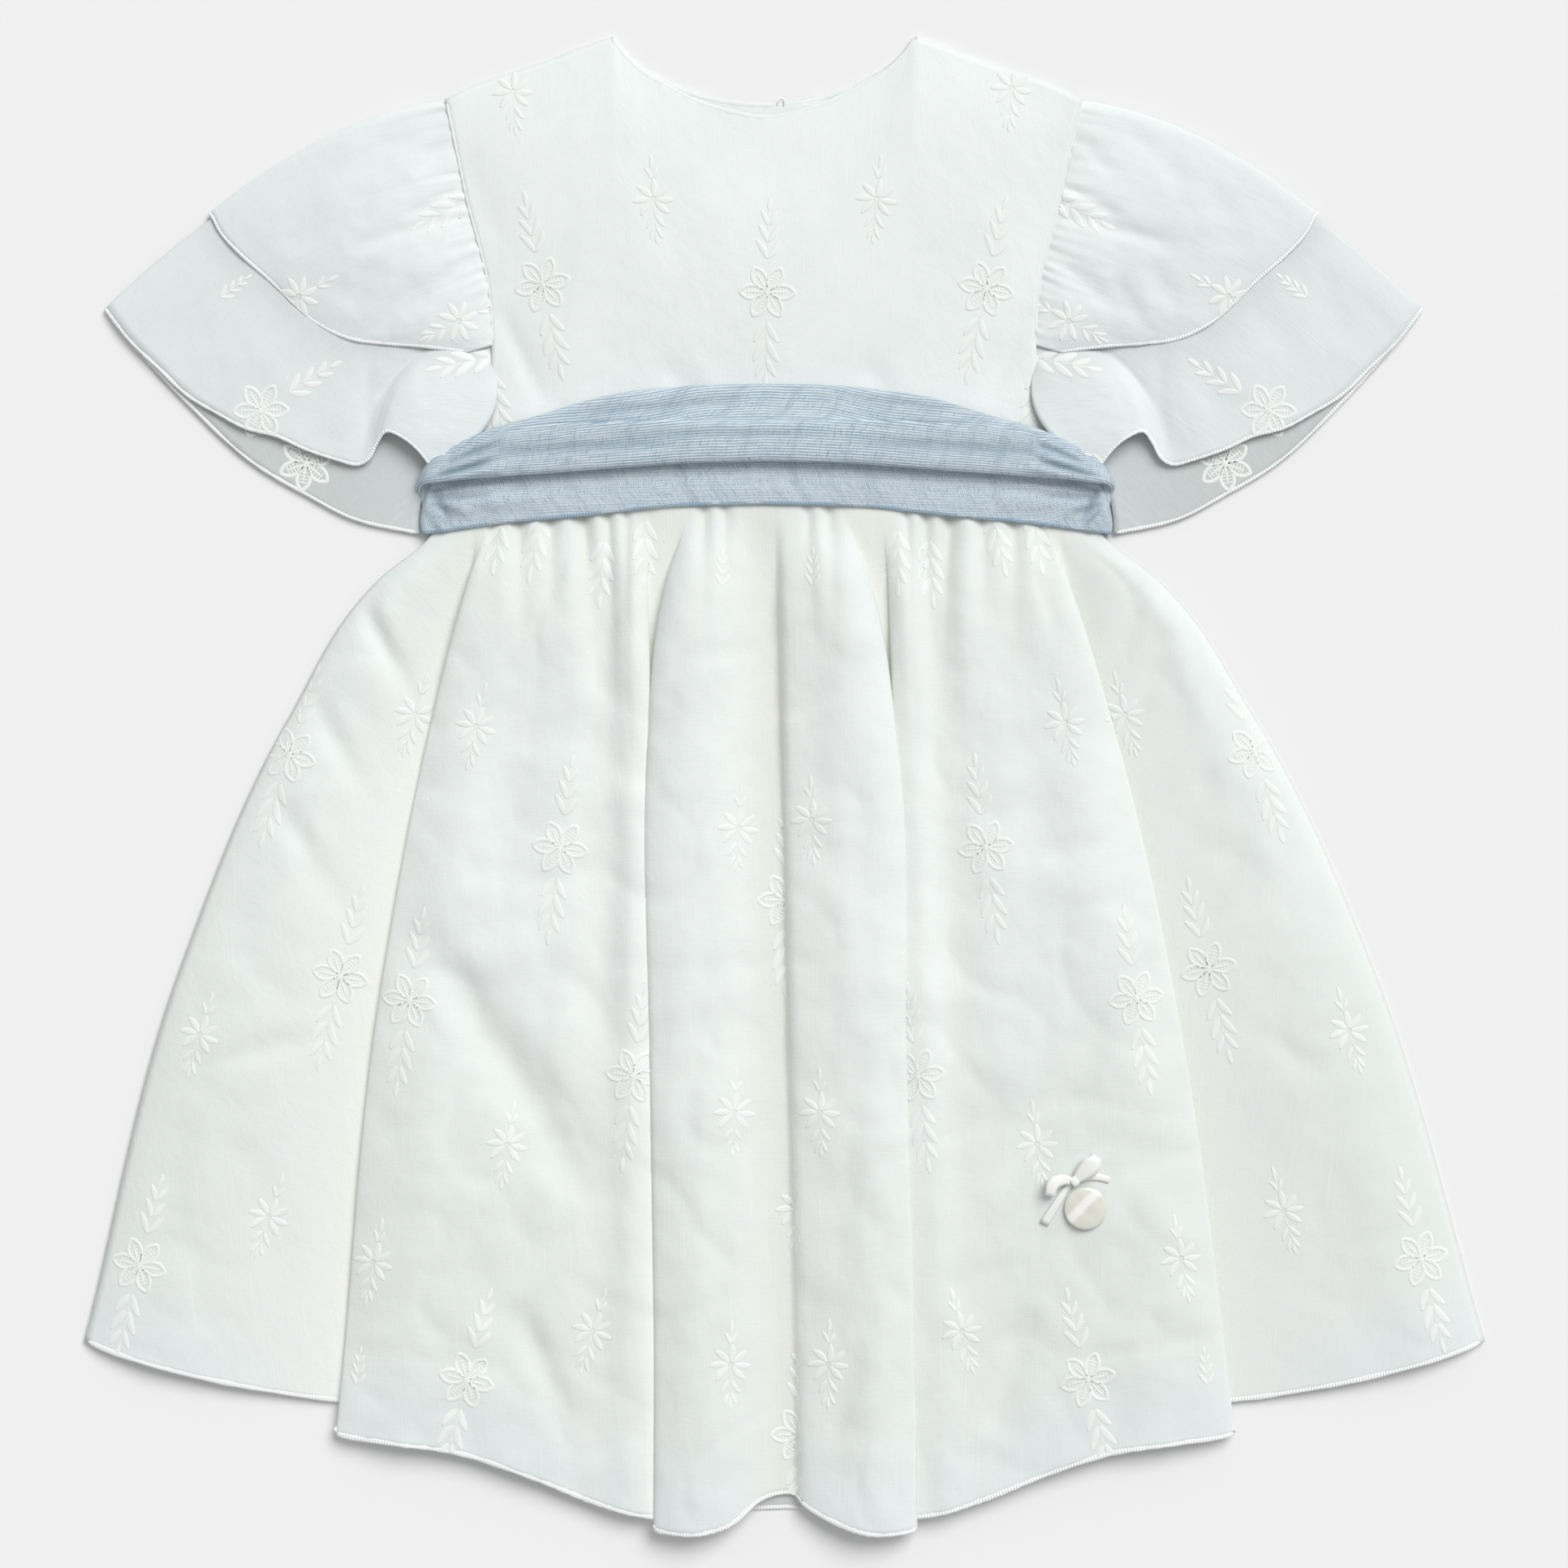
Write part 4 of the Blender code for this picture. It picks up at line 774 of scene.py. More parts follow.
def bodice_top(neck):
    """Points along the neckline and shoulder, centre to armhole."""
    neckline, shoulder = (through([Vector((edge.half, edge.y)) for edge in table],
                                  [TOP_CELLS] * (len(table) - 1)) for table in (neck, SHOULDER))
    return neckline + shoulder[1:]


def chest_rise(share, along):
    """Height of the bodice front, from its rows of named heights."""
    waist = waist_rise(share * WAIST_HALF)
    values = [smooth(CHEST_ACROSS[::-1], (row.centre, row.neck, row.shoulder, row.side), share)
              for row in CHEST_ROWS]
    stations = [row.along for row in CHEST_ROWS] + [0.72, 0.86, 1.0]
    return smooth(stations, values + [waist, waist, waist], along)


def bodice_rows(neck, side, front):
    """Rows of one half of a bodice layer, top edge to waist, centre to side."""
    top = bodice_top(neck)
    rows = []
    for step in range(BODICE_STEPS + 1):
        along = step / BODICE_STEPS
        line = []
        for index, start in enumerate(top):
            share_top = start.x / top[-1].x
            share = share_top + (index / (len(top) - 1) - share_top) * along
            end_y = waist_y(share * WAIST_HALF)
            y = start.y + (end_y - start.y) * along
            seam_y = top[-1].y + (waist_y(WAIST_HALF) - top[-1].y) * along
            half = share * side_half(seam_y)
            rise = back_rise(half, y)
            if front:
                rise = max(rise + CLOTH + GAP, chest_rise(share, along))
            line.append(placed(half, y, rise, side))
        rows.append(line)
    return rows


def bodice_front_grid():
    """The bodice's front from its left side to its right, with its soft troughs."""
    left = bodice_rows(FRONT_NECK, -1, True)
    right = bodice_rows(FRONT_NECK, 1, True)
    grid = as_grid([a[:0:-1] + b for a, b in zip(left, right)])
    free = freed(grid, *BODICE_FREE)
    grid[..., 2] -= free * troughs(grid, BODICE_TROUGHS)
    grid[..., 2] += free * rumpled(grid, BODICE_RUMPLES)
    return grid


def sleeve_grid(rays, side):
    """A sleeve tier from just under the bodice's edge to its hem, back round to front."""
    cells = [ray.cells * RAY_CELLS for ray in rays[:-1]]
    rows = []
    for step in range(SLEEVE_STEPS + 1):
        part = (step / SLEEVE_STEPS) ** 1.15
        hump = 4.0 * part * (1.0 - part)
        points = []
        for ray in rays:
            front = min(1.0, max(0.0, ray.seam_rise - 2.0))
            seam_half = side_half(ray.seam_y) + SEAM_SPACE - (SEAM_TUCK + SEAM_SPACE) * front
            half = seam_half + (ray.hem_half - seam_half) * part + ray.bow_half * hump
            y = ray.seam_y + (ray.hem_y - ray.seam_y) * part + ray.bow_y * hump
            rise = ray.seam_rise + (ray.hem_rise - ray.seam_rise) * part + ray.loft * hump
            if ray.seam_rise > LAP_HEIGHT:
                rise -= SEAM_LAP * eased(part / LAP_PART)
            points.append(placed(half, y, rise, side))
        rows.append(through(points, cells))
    return as_grid(rows)


def gathered_seam(grid, length, spacing, height, seed):
    """Small puckers that fade away from the armhole seam."""
    down = np.linspace(0.0, 1.0, grid.shape[0])[:, None]
    fade = np.exp(-down / length) * np.clip(down / 0.03, 0.0, 1.0)
    ripples = [noise.noise(Vector((y / spacing, seed, 0.0))) for y in grid[0, :, 1]]
    return height * fade * np.array(ripples)[None, :]


def sleeve_folds(side, share):
    """The sleeve's troughs on one side, each at a share of its depth."""
    table = SLEEVE_TROUGHS if side < 0 else mirrored(SLEEVE_TROUGHS)
    return [row._replace(depth=row.depth * share) for row in table]


def outer_sleeve_grid(side):
    grid = sleeve_grid(OUTER_RAYS, side)
    free = freed(grid, *OUTER_FREE)
    grid[..., 2] -= free * troughs(grid, sleeve_folds(side, share=0.8))
    grid[..., 2] += free * rumpled(grid, [Rumple(0.55, 22.0, 2.2 + side), Rumple(0.2, 8.0, 7.7)])
    puckers = gathered_seam(grid, length=0.14, spacing=3.0, height=1.9, seed=3.0 + side)
    grid[..., 2] += freed(grid, *PUCKER_FREE) * puckers
    return grid


def inner_sleeve_grid(side):
    grid = sleeve_grid(INNER_RAYS, side)
    free = freed(grid, *INNER_FREE)
    grid[..., 2] -= free * troughs(grid, sleeve_folds(side, share=0.4))
    grid[..., 2] += free * rumpled(grid, [Rumple(0.4, 20.0, 4.2 + side), Rumple(0.16, 7.0, 1.7)])
    return grid


def shaded_by(grid, hem, reach):
    """Soft shade that a tier's hem throws on the cloth just below it, from nothing to one."""
    flat = grid[..., :2].reshape(-1, 2)
    steps = np.array([np.min(np.hypot(*(hem[:, :2] - spot).T)) for spot in flat])
    return np.exp(-((steps / reach) ** 1.3)).reshape(grid.shape[:2])


def flute_share(grid):
    """One on the raised flute by the underarm, where the cloth catches more light."""
    half = np.abs(grid[..., 0] - centre_x(FLUTE_Y))
    reach = np.hypot((half - FLUTE_HALF) / FLUTE_WIDE, (grid[..., 1] - FLUTE_Y) / FLUTE_LONG)
    return np.clip(1.6 - reach, 0.0, 1.0)


def fold_column(rays):
    """Column of a sleeve's grid that lies on its top fold."""
    names = [ray.name for ray in rays]
    return sum(ray.cells * RAY_CELLS for ray in rays[:names.index("fold")])


def single_layer(grid, rays):
    """One on the part of a sleeve that lies behind its fold, where only one layer shows."""
    columns = np.clip((fold_column(rays) - np.arange(grid.shape[1])) / 3.0, 0.0, 1.0)
    return np.broadcast_to(columns[None, :], grid.shape[:2])


def sash_front(across):
    """Page height and own height of each crease, at a part of the way from the sash's centre to its end."""
    stations = [row.across for row in SASH_SECTIONS]
    edges = {name: smooth(stations, [getattr(row, name) for row in SASH_SECTIONS], across)
             for name in ("hem_y", "lip_y", "crease_y", "top_y")}
    strip = edges["top_y"] - edges["crease_y"]
    folded = 1.0 - eased((across - LIP_FROM) / (LIP_FULL - LIP_FROM))
    line = []
    for crease in SASH_CREASES:
        place, height = SMOOTH_LIP.get(crease.name, (crease.place, crease.height))
        place += (crease.place - place) * folded
        height += (crease.height - height) * folded
        if crease.follows == "strip":
            line.append((edges["crease_y"] + place * strip, height))
        else:
            line.append((edges[crease.follows] + place, height))
    return line


def sash_reach(y):
    """Half width of the sash's turn line at a height on the page."""
    return read(SASH_END, "half", y) - SASH_TURN_RADIUS


def sash_section(across, share, bend, side):
    """One section of the sash: share 1 is the folded front, 0 the flat back."""
    line = []
    last = len(SASH_CREASES) - 1
    for index, (folded_y, height) in enumerate(sash_front(across)):
        flat_y = SASH_BACK_HEM_Y + (SASH_BACK_TOP_Y - SASH_BACK_HEM_Y) * index / last
        y = flat_y + (folded_y - flat_y) * share ** 1.5
        reach = SASH_TURN_RADIUS + height * share ** 0.5
        half = across * sash_reach(y) + reach * math.cos(bend)
        upward = reach if bend > 0.0 else SASH_TURN_RADIUS
        rise = REST + SASH_TURN_RADIUS + upward * math.sin(bend)
        if bend > 0.0 and across < 1.0:
            rise += waist_rise(min(half, WAIST_HALF)) - WAIST_SIDE_RISE
        line.append(placed(half, y, rise, side))
    return through(line, CREASE_CELLS)


def sash_grid():
    """Closed loop of sections from the middle of the back: left end, front, right end."""
    up = math.pi / 2
    half_loop = []
    for side in (-1, 1):
        rows = [sash_section(step / SASH_STEPS, 1.0, up, side) for step in range(SASH_STEPS)]
        for step in range(2 * SASH_TURN_STEPS + 1):
            bend = up * (1.0 - step / SASH_TURN_STEPS)
            rows.append(sash_section(1.0, 0.5 + 0.5 * math.sin(bend), bend, side))
        rows += [sash_section(1.0 - step / SASH_TURN_STEPS, 0.0, -up, side)
                 for step in range(1, SASH_TURN_STEPS + 1)]
        half_loop.append(rows)
    grid = as_grid(half_loop[0][::-1] + half_loop[1][1:-1])
    free = freed(grid, *SASH_FREE)
    grid[..., 2] -= free * troughs(grid, SASH_TROUGHS)
    grid[..., 2] += freed(grid, *RIDGE_FREE) * troughs(grid, SASH_RIDGES)
    drawn_out = grid * np.array((0.35, 1.0, 1.0))
    grid[..., 2] += free * rumpled(drawn_out, [Rumple(0.22, 9.0, 2.9)])
    return grid


def sash_marks(grid):
    """Which sash points show the weave's back, and the painted shade by a pinched end and in a crease."""
    folds = [index + step / count for index, count in enumerate(CREASE_CELLS) for step in range(count)]
    folds = np.array(folds + [len(CREASE_CELLS)])[None, :]
    reverse = np.clip(SASH_REVERSE_TO - folds, 0.0, 1.0)
    reach = np.abs(grid[..., 0] - centre_x(WAIST_Y))
    # Painted shade under the roll's lip towards the ends, in the sash's troughs and between the pinch's
    # creases.
    under_roll = np.exp(-((folds - ROLL_UNDER) / 0.5) ** 2)
    creases = under_roll * np.clip((reach - ROLL_SHADE_FROM) / SASH_FADE, 0.0, 1.0)
    upper = freed(grid, *CREASE_FREE)
    creases += 0.8 * upper * np.clip(troughs(grid, SASH_TROUGHS), 0.0, 1.0)
    creases += upper * np.clip(troughs(grid, SASH_PINCHES), 0.0, 1.0)
    return {"reverse": np.broadcast_to(reverse, grid.shape[:2]),
            "pinch": np.clip((reach - SASH_PINCH_FROM) / SASH_FADE, 0.0, 1.0),
            "crease": np.clip(creases, 0.0, 1.0)}


def cloth_uv(grid):
    """Place of each point in the uncurved cloth, in metres: across from the middle column, and down."""
    steps = np.linalg.norm(np.diff(grid, axis=1), axis=2)
    across = np.concatenate([np.zeros((len(grid), 1)), np.cumsum(steps, axis=1)], axis=1)
    across -= across[:, [grid.shape[1] // 2]]
    falls = np.linalg.norm(np.diff(grid, axis=0), axis=2)
    down = np.concatenate([np.zeros((1, grid.shape[1])), np.cumsum(falls, axis=0)], axis=0)
    return np.stack([across, down], axis=2) * MM


def set_uv(mesh, places):
    """Gives each corner of a mesh the place of its point."""
    layer = mesh.uv_layers.new(name="cloth")
    corners = np.zeros(len(mesh.loops), np.int32)
    mesh.loops.foreach_get("vertex_index", corners)
    layer.data.foreach_set("uv", places.reshape(-1, 2)[corners].astype(np.float32).ravel())


def set_value(mesh, name, values):
    """Keeps one number for each point of a mesh, for its material to read."""
    layer = mesh.attributes.new(name, "FLOAT", "POINT")
    layer.data.foreach_set("value", np.asarray(values, np.float32).ravel())


def grid_faces(rows, columns, looped=False):
    """Quads between the rows and columns of a grid; a looped one joins its last row to its first."""
    count = rows if looped else rows - 1
    return [(row * columns + column, row * columns + column + 1,
             ((row + 1) % rows) * columns + column + 1, ((row + 1) % rows) * columns + column)
            for row in range(count) for column in range(columns - 1)]


def hollowness(grid):
    """How far each point lies below the cloth around it, from nothing to one."""
    height = grid[..., 2]
    padded = np.pad(height, HOLLOW_REACH, mode="edge")
    shifts = range(0, 2 * HOLLOW_REACH + 1, HOLLOW_STRIDE)
    total = np.zeros(height.shape)
    for row in shifts:
        for column in shifts:
            total += padded[row:row + height.shape[0], column:column + height.shape[1]]
    return np.clip((total / len(shifts) ** 2 - height) / HOLLOW_FULL, 0.0, 1.0)


def finish_piece(name, mesh, material, replaces=()):
    """Makes the object of a mesh, smooth, riding on the dress."""
    item = bpy.data.objects.new(name, mesh)
    bpy.context.scene.collection.objects.link(item)
    mesh.materials.append(material)
    mesh.polygons.foreach_set("use_smooth", [True] * len(mesh.polygons))
    mesh.update()
    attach(item, ROOT)
    if replaces:
        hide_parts(*replaces)
    return item


def thicken(item, thickness):
    """Gives a sheet its wall, half to each side."""
    wall = item.modifiers.new("cloth wall", "SOLIDIFY")
    wall.thickness = thickness * MM
    wall.offset = 0.0


def cloth_piece(name, grid, thickness, material, marks, looped=False):
    """A thin shell of cloth on a grid of points, standing for the solid of the same name."""
    mesh = bpy.data.meshes.new(name)
    mesh.from_pydata((grid.reshape(-1, 3) * MM).tolist(), [],
                     grid_faces(*grid.shape[:2], looped))
    set_uv(mesh, cloth_uv(grid))
    for mark, values in marks.items():
        set_value(mesh, mark, values)
    item = finish_piece(name + "_cloth", mesh, material, (name,))
    thicken(item, thickness)
    return item


def rolled_edge(name, line, inner, roll, material):
    """A rolled hem along a cloth's edge line: inner is the next line of points inside it."""
    line, inner = np.array(line), np.array(inner)
    tangent = np.gradient(line, axis=0)
    tangent /= np.linalg.norm(tangent, axis=1)[:, None] + 1e-9
    inward = inner - line
    inward -= tangent * np.sum(inward * tangent, axis=1)[:, None]
    inward /= np.linalg.norm(inward, axis=1)[:, None] + 1e-9
    upward = np.cross(tangent, inward)
    length = np.concatenate([[0.0], np.cumsum(np.linalg.norm(np.diff(line, axis=0), axis=1))])
    plump = 1.0 + ROLL_PUCKER * np.sin(2 * np.pi * length / roll.pitch)
    plump += ROLL_SWELL * np.sin(length / ROLL_SWELL_LENGTH)
    from_end = np.minimum(length, length[-1] - length)
    plump *= np.clip(ROLL_END + from_end / ROLL_END_LENGTH, ROLL_END, 1.0)
    sides = ROLL_SIDES
    rings = []
    for turn in range(sides):
        angle = 2 * math.pi * turn / sides
        reach = (0.5 * roll.wide * math.cos(angle) * plump + ROLL_INSET * roll.wide)[:, None]
        lift = (0.5 * roll.thick * math.sin(angle) * plump)[:, None]
        rings.append(line + inward * reach + upward * lift)
    points = np.stack(rings, axis=1)
    points[..., 2] = np.maximum(points[..., 2], 0.0)
    count = len(line)
    faces = [(ring * sides + turn, ring * sides + (turn + 1) % sides,
              (ring + 1) * sides + (turn + 1) % sides, (ring + 1) * sides + turn)
             for ring in range(count - 1) for turn in range(sides)]
    faces.append(tuple(range(sides)))
    faces.append(tuple(range(count * sides - 1, (count - 1) * sides - 1, -1)))
    mesh = bpy.data.meshes.new(name)
    mesh.from_pydata((points.reshape(-1, 3) * MM).tolist(), [], faces)
    around = np.broadcast_to(np.arange(sides)[None, :] * roll.wide / sides, (count, sides))
    set_uv(mesh, np.stack([np.broadcast_to(length[:, None], (count, sides)), around], axis=2) * MM)
    return finish_piece(name, mesh, material)


def ribbon_line(arm):
    """Plan points and half widths along one ribbon, at even steps."""
    return through([Vector(place) for place in arm], [5] * (len(arm) - 1))


def ribbon_row(knot, place, side, height, cup):
    """Five points across a ribbon, its middle higher by the cup."""
    return [Vector((knot.x + place.x + share * place.z * side.x, knot.y + place.y + share * place.z * side.y,
                    height + cup * (1.0 - share * share))) for share in (-1.0, -0.5, 0.0, 0.5, 1.0)]


def ribbon_rows(line, knot, heights):
    """Cross rows of a ribbon, square to its plan line."""
    rows = []
    for index, place in enumerate(line):
        ahead = line[min(index + 1, len(line) - 1)].xy - line[max(index - 1, 0)].xy
        side = Vector((-ahead.y, ahead.x)).normalized()
        rows.append(ribbon_row(knot, place, side, heights[index], RIBBON_CUP))
    return rows


def bow_loop(arm, knot, base):
    """A puffed loop of ribbon: out along its lower layer, round its end and back on top."""
    line = ribbon_line(arm)
    last = len(line) - 1
    below = [base + 0.25 * math.sin(math.pi * index / last) for index in range(last + 1)]
    above = [base + 0.5 + BOW_PUFF * math.sin(math.pi * min(1.0, 0.5 * index / last + 0.12)) ** 1.5
             for index in range(last + 1)]
    rows = ribbon_rows(line, knot, below)
    side = (rows[-1][4] - rows[-1][0]).normalized()
    ahead = (line[-1].xy - line[-2].xy).normalized()
    for step in range(1, BOW_TURN_STEPS):
        bend = math.pi * step / BOW_TURN_STEPS
        out = ahead * (BOW_TURN * math.sin(bend))
        height = below[-1] + (above[-1] - below[-1]) * (0.5 - 0.5 * math.cos(bend))
        rows.append(ribbon_row(knot, line[-1] + Vector((out.x, out.y, 0.0)), side, height, 0.0))
    return rows + ribbon_rows(line, knot, above)[::-1]


def knot_rows(knot, base):
    """A small wrapped band over the middle of the bow."""
    turn = math.radians(KNOT_TURN)
    ahead, side = Vector((math.cos(turn), math.sin(turn))), Vector((-math.sin(turn), math.cos(turn)))
    rows = []
    for step in range(KNOT_STEPS + 1):
        bend = 2 * math.pi * step / KNOT_STEPS
        row = []
        for share in (-1.0, -0.6, 0.0, 0.6, 1.0):
            out = KNOT_LONG * math.cos(bend) * (1.0 - 0.12 * share * share)
            spot = ahead * out + side * (KNOT_WIDE * share)
            rise = base + KNOT_RISE + KNOT_HIGH * math.sin(bend) * (1.0 - 0.2 * share * share)
            row.append(Vector((knot.x + spot.x, knot.y + spot.y, rise)))
        rows.append(row)
    return rows


def ribbon_piece(name, parts, material, replaces):
    """One piece made of ribbons, each given as its cross rows."""
    points, faces, places = [], [], []
    for rows in parts:
        grid = as_grid(rows)
        start = len(points)
        points += (grid.reshape(-1, 3) * MM).tolist()
        faces += [tuple(corner + start for corner in quad) for quad in grid_faces(*grid.shape[:2])]
        places += cloth_uv(grid).reshape(-1, 2).tolist()
    mesh = bpy.data.meshes.new(name)
    mesh.from_pydata(points, [], faces)
    set_uv(mesh, np.array(places))
    thicken(finish_piece(name, mesh, material, replaces), RIBBON_WALL)


def turned_piece(name, profile, centre, material, replaces, segments=48):
    """A round piece turned from its profile about its own axis."""
    points, faces = [], []
    for ring in profile[1:-1]:
        for step in range(segments):
            turn = 2 * math.pi * step / segments
            out = Vector((ring.radius * math.cos(turn), ring.radius * math.sin(turn), ring.rise))
            points.append((centre + out) * MM)
    top, bottom, last = len(points), len(points) + 1, len(points) - segments
    points += [(centre + Vector((0.0, 0.0, end.rise))) * MM for end in (profile[0], profile[-1])]
    for step in range(segments):
        after = (step + 1) % segments
        faces += [(ring + after, ring + step, ring + segments + step, ring + segments + after)
                  for ring in range(0, last, segments)]
        faces += [(top, step, after), (bottom, last + after, last + step)]
    mesh = bpy.data.meshes.new(name)
    mesh.from_pydata(points, [], faces)
    return finish_piece(name, mesh, material, replaces)


class Value:
    """A number in a material; sums written on it add Math nodes."""

    def __init__(self, recipe, socket):
        self.recipe = recipe
        self.socket = socket

    def sum(self, operation, first, second):
        return self.recipe.node("ShaderNodeMath", {"operation": operation}, {0: first, 1: second})

    def __add__(self, other):
        return self.sum("ADD", self, other)

    def __sub__(self, other):
        return self.sum("SUBTRACT", self, other)

    def __rsub__(self, other):
        return self.sum("SUBTRACT", other, self)

    def __mul__(self, other):
        return self.sum("MULTIPLY", self, other)

    __radd__ = __add__
    __rmul__ = __mul__


class Recipe:
    """One material and the nodes it is made of."""

    def __init__(self, name):
        self.material = bpy.data.materials.new(name)
        self.material.use_nodes = True
        self.tree = self.material.node_tree
        self.shader = self.tree.nodes["Principled BSDF"]

    def node(self, kind, settings=None, inputs=None, output=0):
        """Adds a node: its settings first, then the values or links of its sockets."""
        made = self.tree.nodes.new(kind)
        for key, value in (settings or {}).items():
            setattr(made, key, value)
        for key, value in (inputs or {}).items():
            self.feed(made.inputs[key], value)
        return Value(self, made.outputs[output])

    def feed(self, socket, value):
        """Links a socket to a value, or sets it to a number, a vector or a colour."""
        if isinstance(value, Value):
            self.tree.links.new(value.socket, socket)
        elif hasattr(value, "__len__") and len(value) == 3 and len(socket.default_value) == 4:
            socket.default_value = (*value, 1.0)
        else:
            socket.default_value = value

    def set(self, **sockets):
        """Feeds sockets of the main shader, named with underscores for spaces."""
        for key, value in sockets.items():
            self.feed(self.shader.inputs[key.replace("_", " ")], value)
        return self.material

    def uv(self):
        return self.node("ShaderNodeUVMap", {"uv_map": "cloth"})

    def scaled(self, vector, scale):
        return self.node("ShaderNodeVectorMath", {"operation": "MULTIPLY"}, {0: vector, 1: scale})

    def noise(self, vector, scale, detail=2.0, roughness=0.5):
        return self.node("ShaderNodeTexNoise", None, {"Vector": self.scaled(vector, scale), "Scale": 1.0,
                                                      "Detail": detail, "Roughness": roughness})

    def spread(self, value, low, high):
        """The value's stretch from low to high, as nothing to one."""
        return self.node("ShaderNodeMapRange", {"clamp": True},
                         {"Value": value, "From Min": low, "From Max": high})

    def mix(self, share, first, second):
        """A colour between two, whose sockets are numbers 6 and 7 of the node."""
        return self.node("ShaderNodeMix", {"data_type": "RGBA"}, {0: share, 6: first, 7: second}, 2)

    def split(self, vector, axis):
        return self.node("ShaderNodeSeparateXYZ", None, {0: vector}, axis)

    def bump(self, height, strength, distance):
        return self.node("ShaderNodeBump", None,
                         {"Height": height, "Strength": strength, "Distance": distance})

    def attribute(self, name):
        return self.node("ShaderNodeAttribute", {"attribute_name": name}, None, "Fac")


def voile(name, strength, tones):
    """White cotton voile: fine uneven threads both ways, soft cool patches, painted warm shade and glow."""
    recipe = Recipe(name)
    uv = recipe.uv()
    across = recipe.noise(uv, (1500.0, 60.0, 1.0), 3.0, 0.65)
    along = recipe.noise(uv, (60.0, 1400.0, 1.0), 3.0, 0.65)
    slub = recipe.spread(recipe.noise(uv, (800.0, 22.0, 1.0), 2.0), 0.58, 0.8)
    cloud = recipe.noise(uv, (26.0, 20.0, 1.0), 4.0, 0.6)
    crumple = recipe.noise(uv, (150.0, 120.0, 1.0), 3.0, 0.55)
    tint = recipe.mix(recipe.spread(cloud, 0.36, 0.68), tones.base, tones.shade)
    # Painted shade: darker where the mark low is high, towards a hem.
    tint = recipe.mix(recipe.attribute("low"), tint, tones.low)
    tint = recipe.mix(recipe.attribute("hem") * 0.7, tint, tones.hem)
    # Painted shade on a sleeve's single back layer and under a tier's hem.
    tint = recipe.mix(recipe.attribute("single"), tint, tones.single)
    tint = recipe.mix(recipe.attribute("shade"), tint, tones.single)
    # Painted warm shade in folds and hollows.
    tint = recipe.mix(recipe.attribute("warm") * 0.9, tint, tones.warm)
    thread = recipe.spread(across * 0.55 + along * 0.45, 0.34, 0.70)
    tint = recipe.mix(thread * 0.13, tint, tones.gap)
    tint = recipe.mix(slub * 0.18, tint, tones.slub)
    tint = recipe.mix(recipe.spread(crumple, 0.35, 0.7) * 0.10, tint, tones.gap)
    height = across * 0.16 + along * 0.14 + slub * 0.08 + crumple * 0.55
    # Painted glow in the folds, as emission.
    light = recipe.mix(recipe.attribute("glow"), (0.0, 0.0, 0.0), THROUGH_COLOUR)
    return recipe.set(Base_Color=tint, Roughness=0.86, Specular_IOR_Level=0.25, Sheen_Weight=0.1,
                      Sheen_Roughness=0.5, Emission_Color=light, Emission_Strength=THROUGH_LIGHT,
                      Normal=recipe.bump(height, strength, 0.001))


def thread_finish(name, colour, shade):
    """Satin-stitched cotton: fine close stitches with a soft sheen."""
    recipe = Recipe(name)
    uv = recipe.uv()
    stitch = recipe.node("ShaderNodeTexWave", {"wave_type": "BANDS", "bands_direction": "Y"},
                         {"Vector": recipe.scaled(uv, (1000.0, 1000.0, 1.0)), "Scale": 0.62,
                          "Distortion": 0.8, "Detail": 1.0})
    fuzz = recipe.noise(uv, (2400.0, 2400.0, 1.0), 2.0)
    tint = recipe.mix(stitch * 0.3 + fuzz * 0.2, colour, shade)
    return recipe.set(Base_Color=tint, Roughness=0.55, Specular_IOR_Level=0.4,
                      Normal=recipe.bump(stitch * 0.8 + fuzz * 0.3, 0.5, 0.00015))


def wave(recipe, value):
    """A sine of a value, moved to run from nothing to one."""
    return recipe.node("ShaderNodeMath", {"operation": "SINE"}, {0: value}) * 0.5 + 0.5


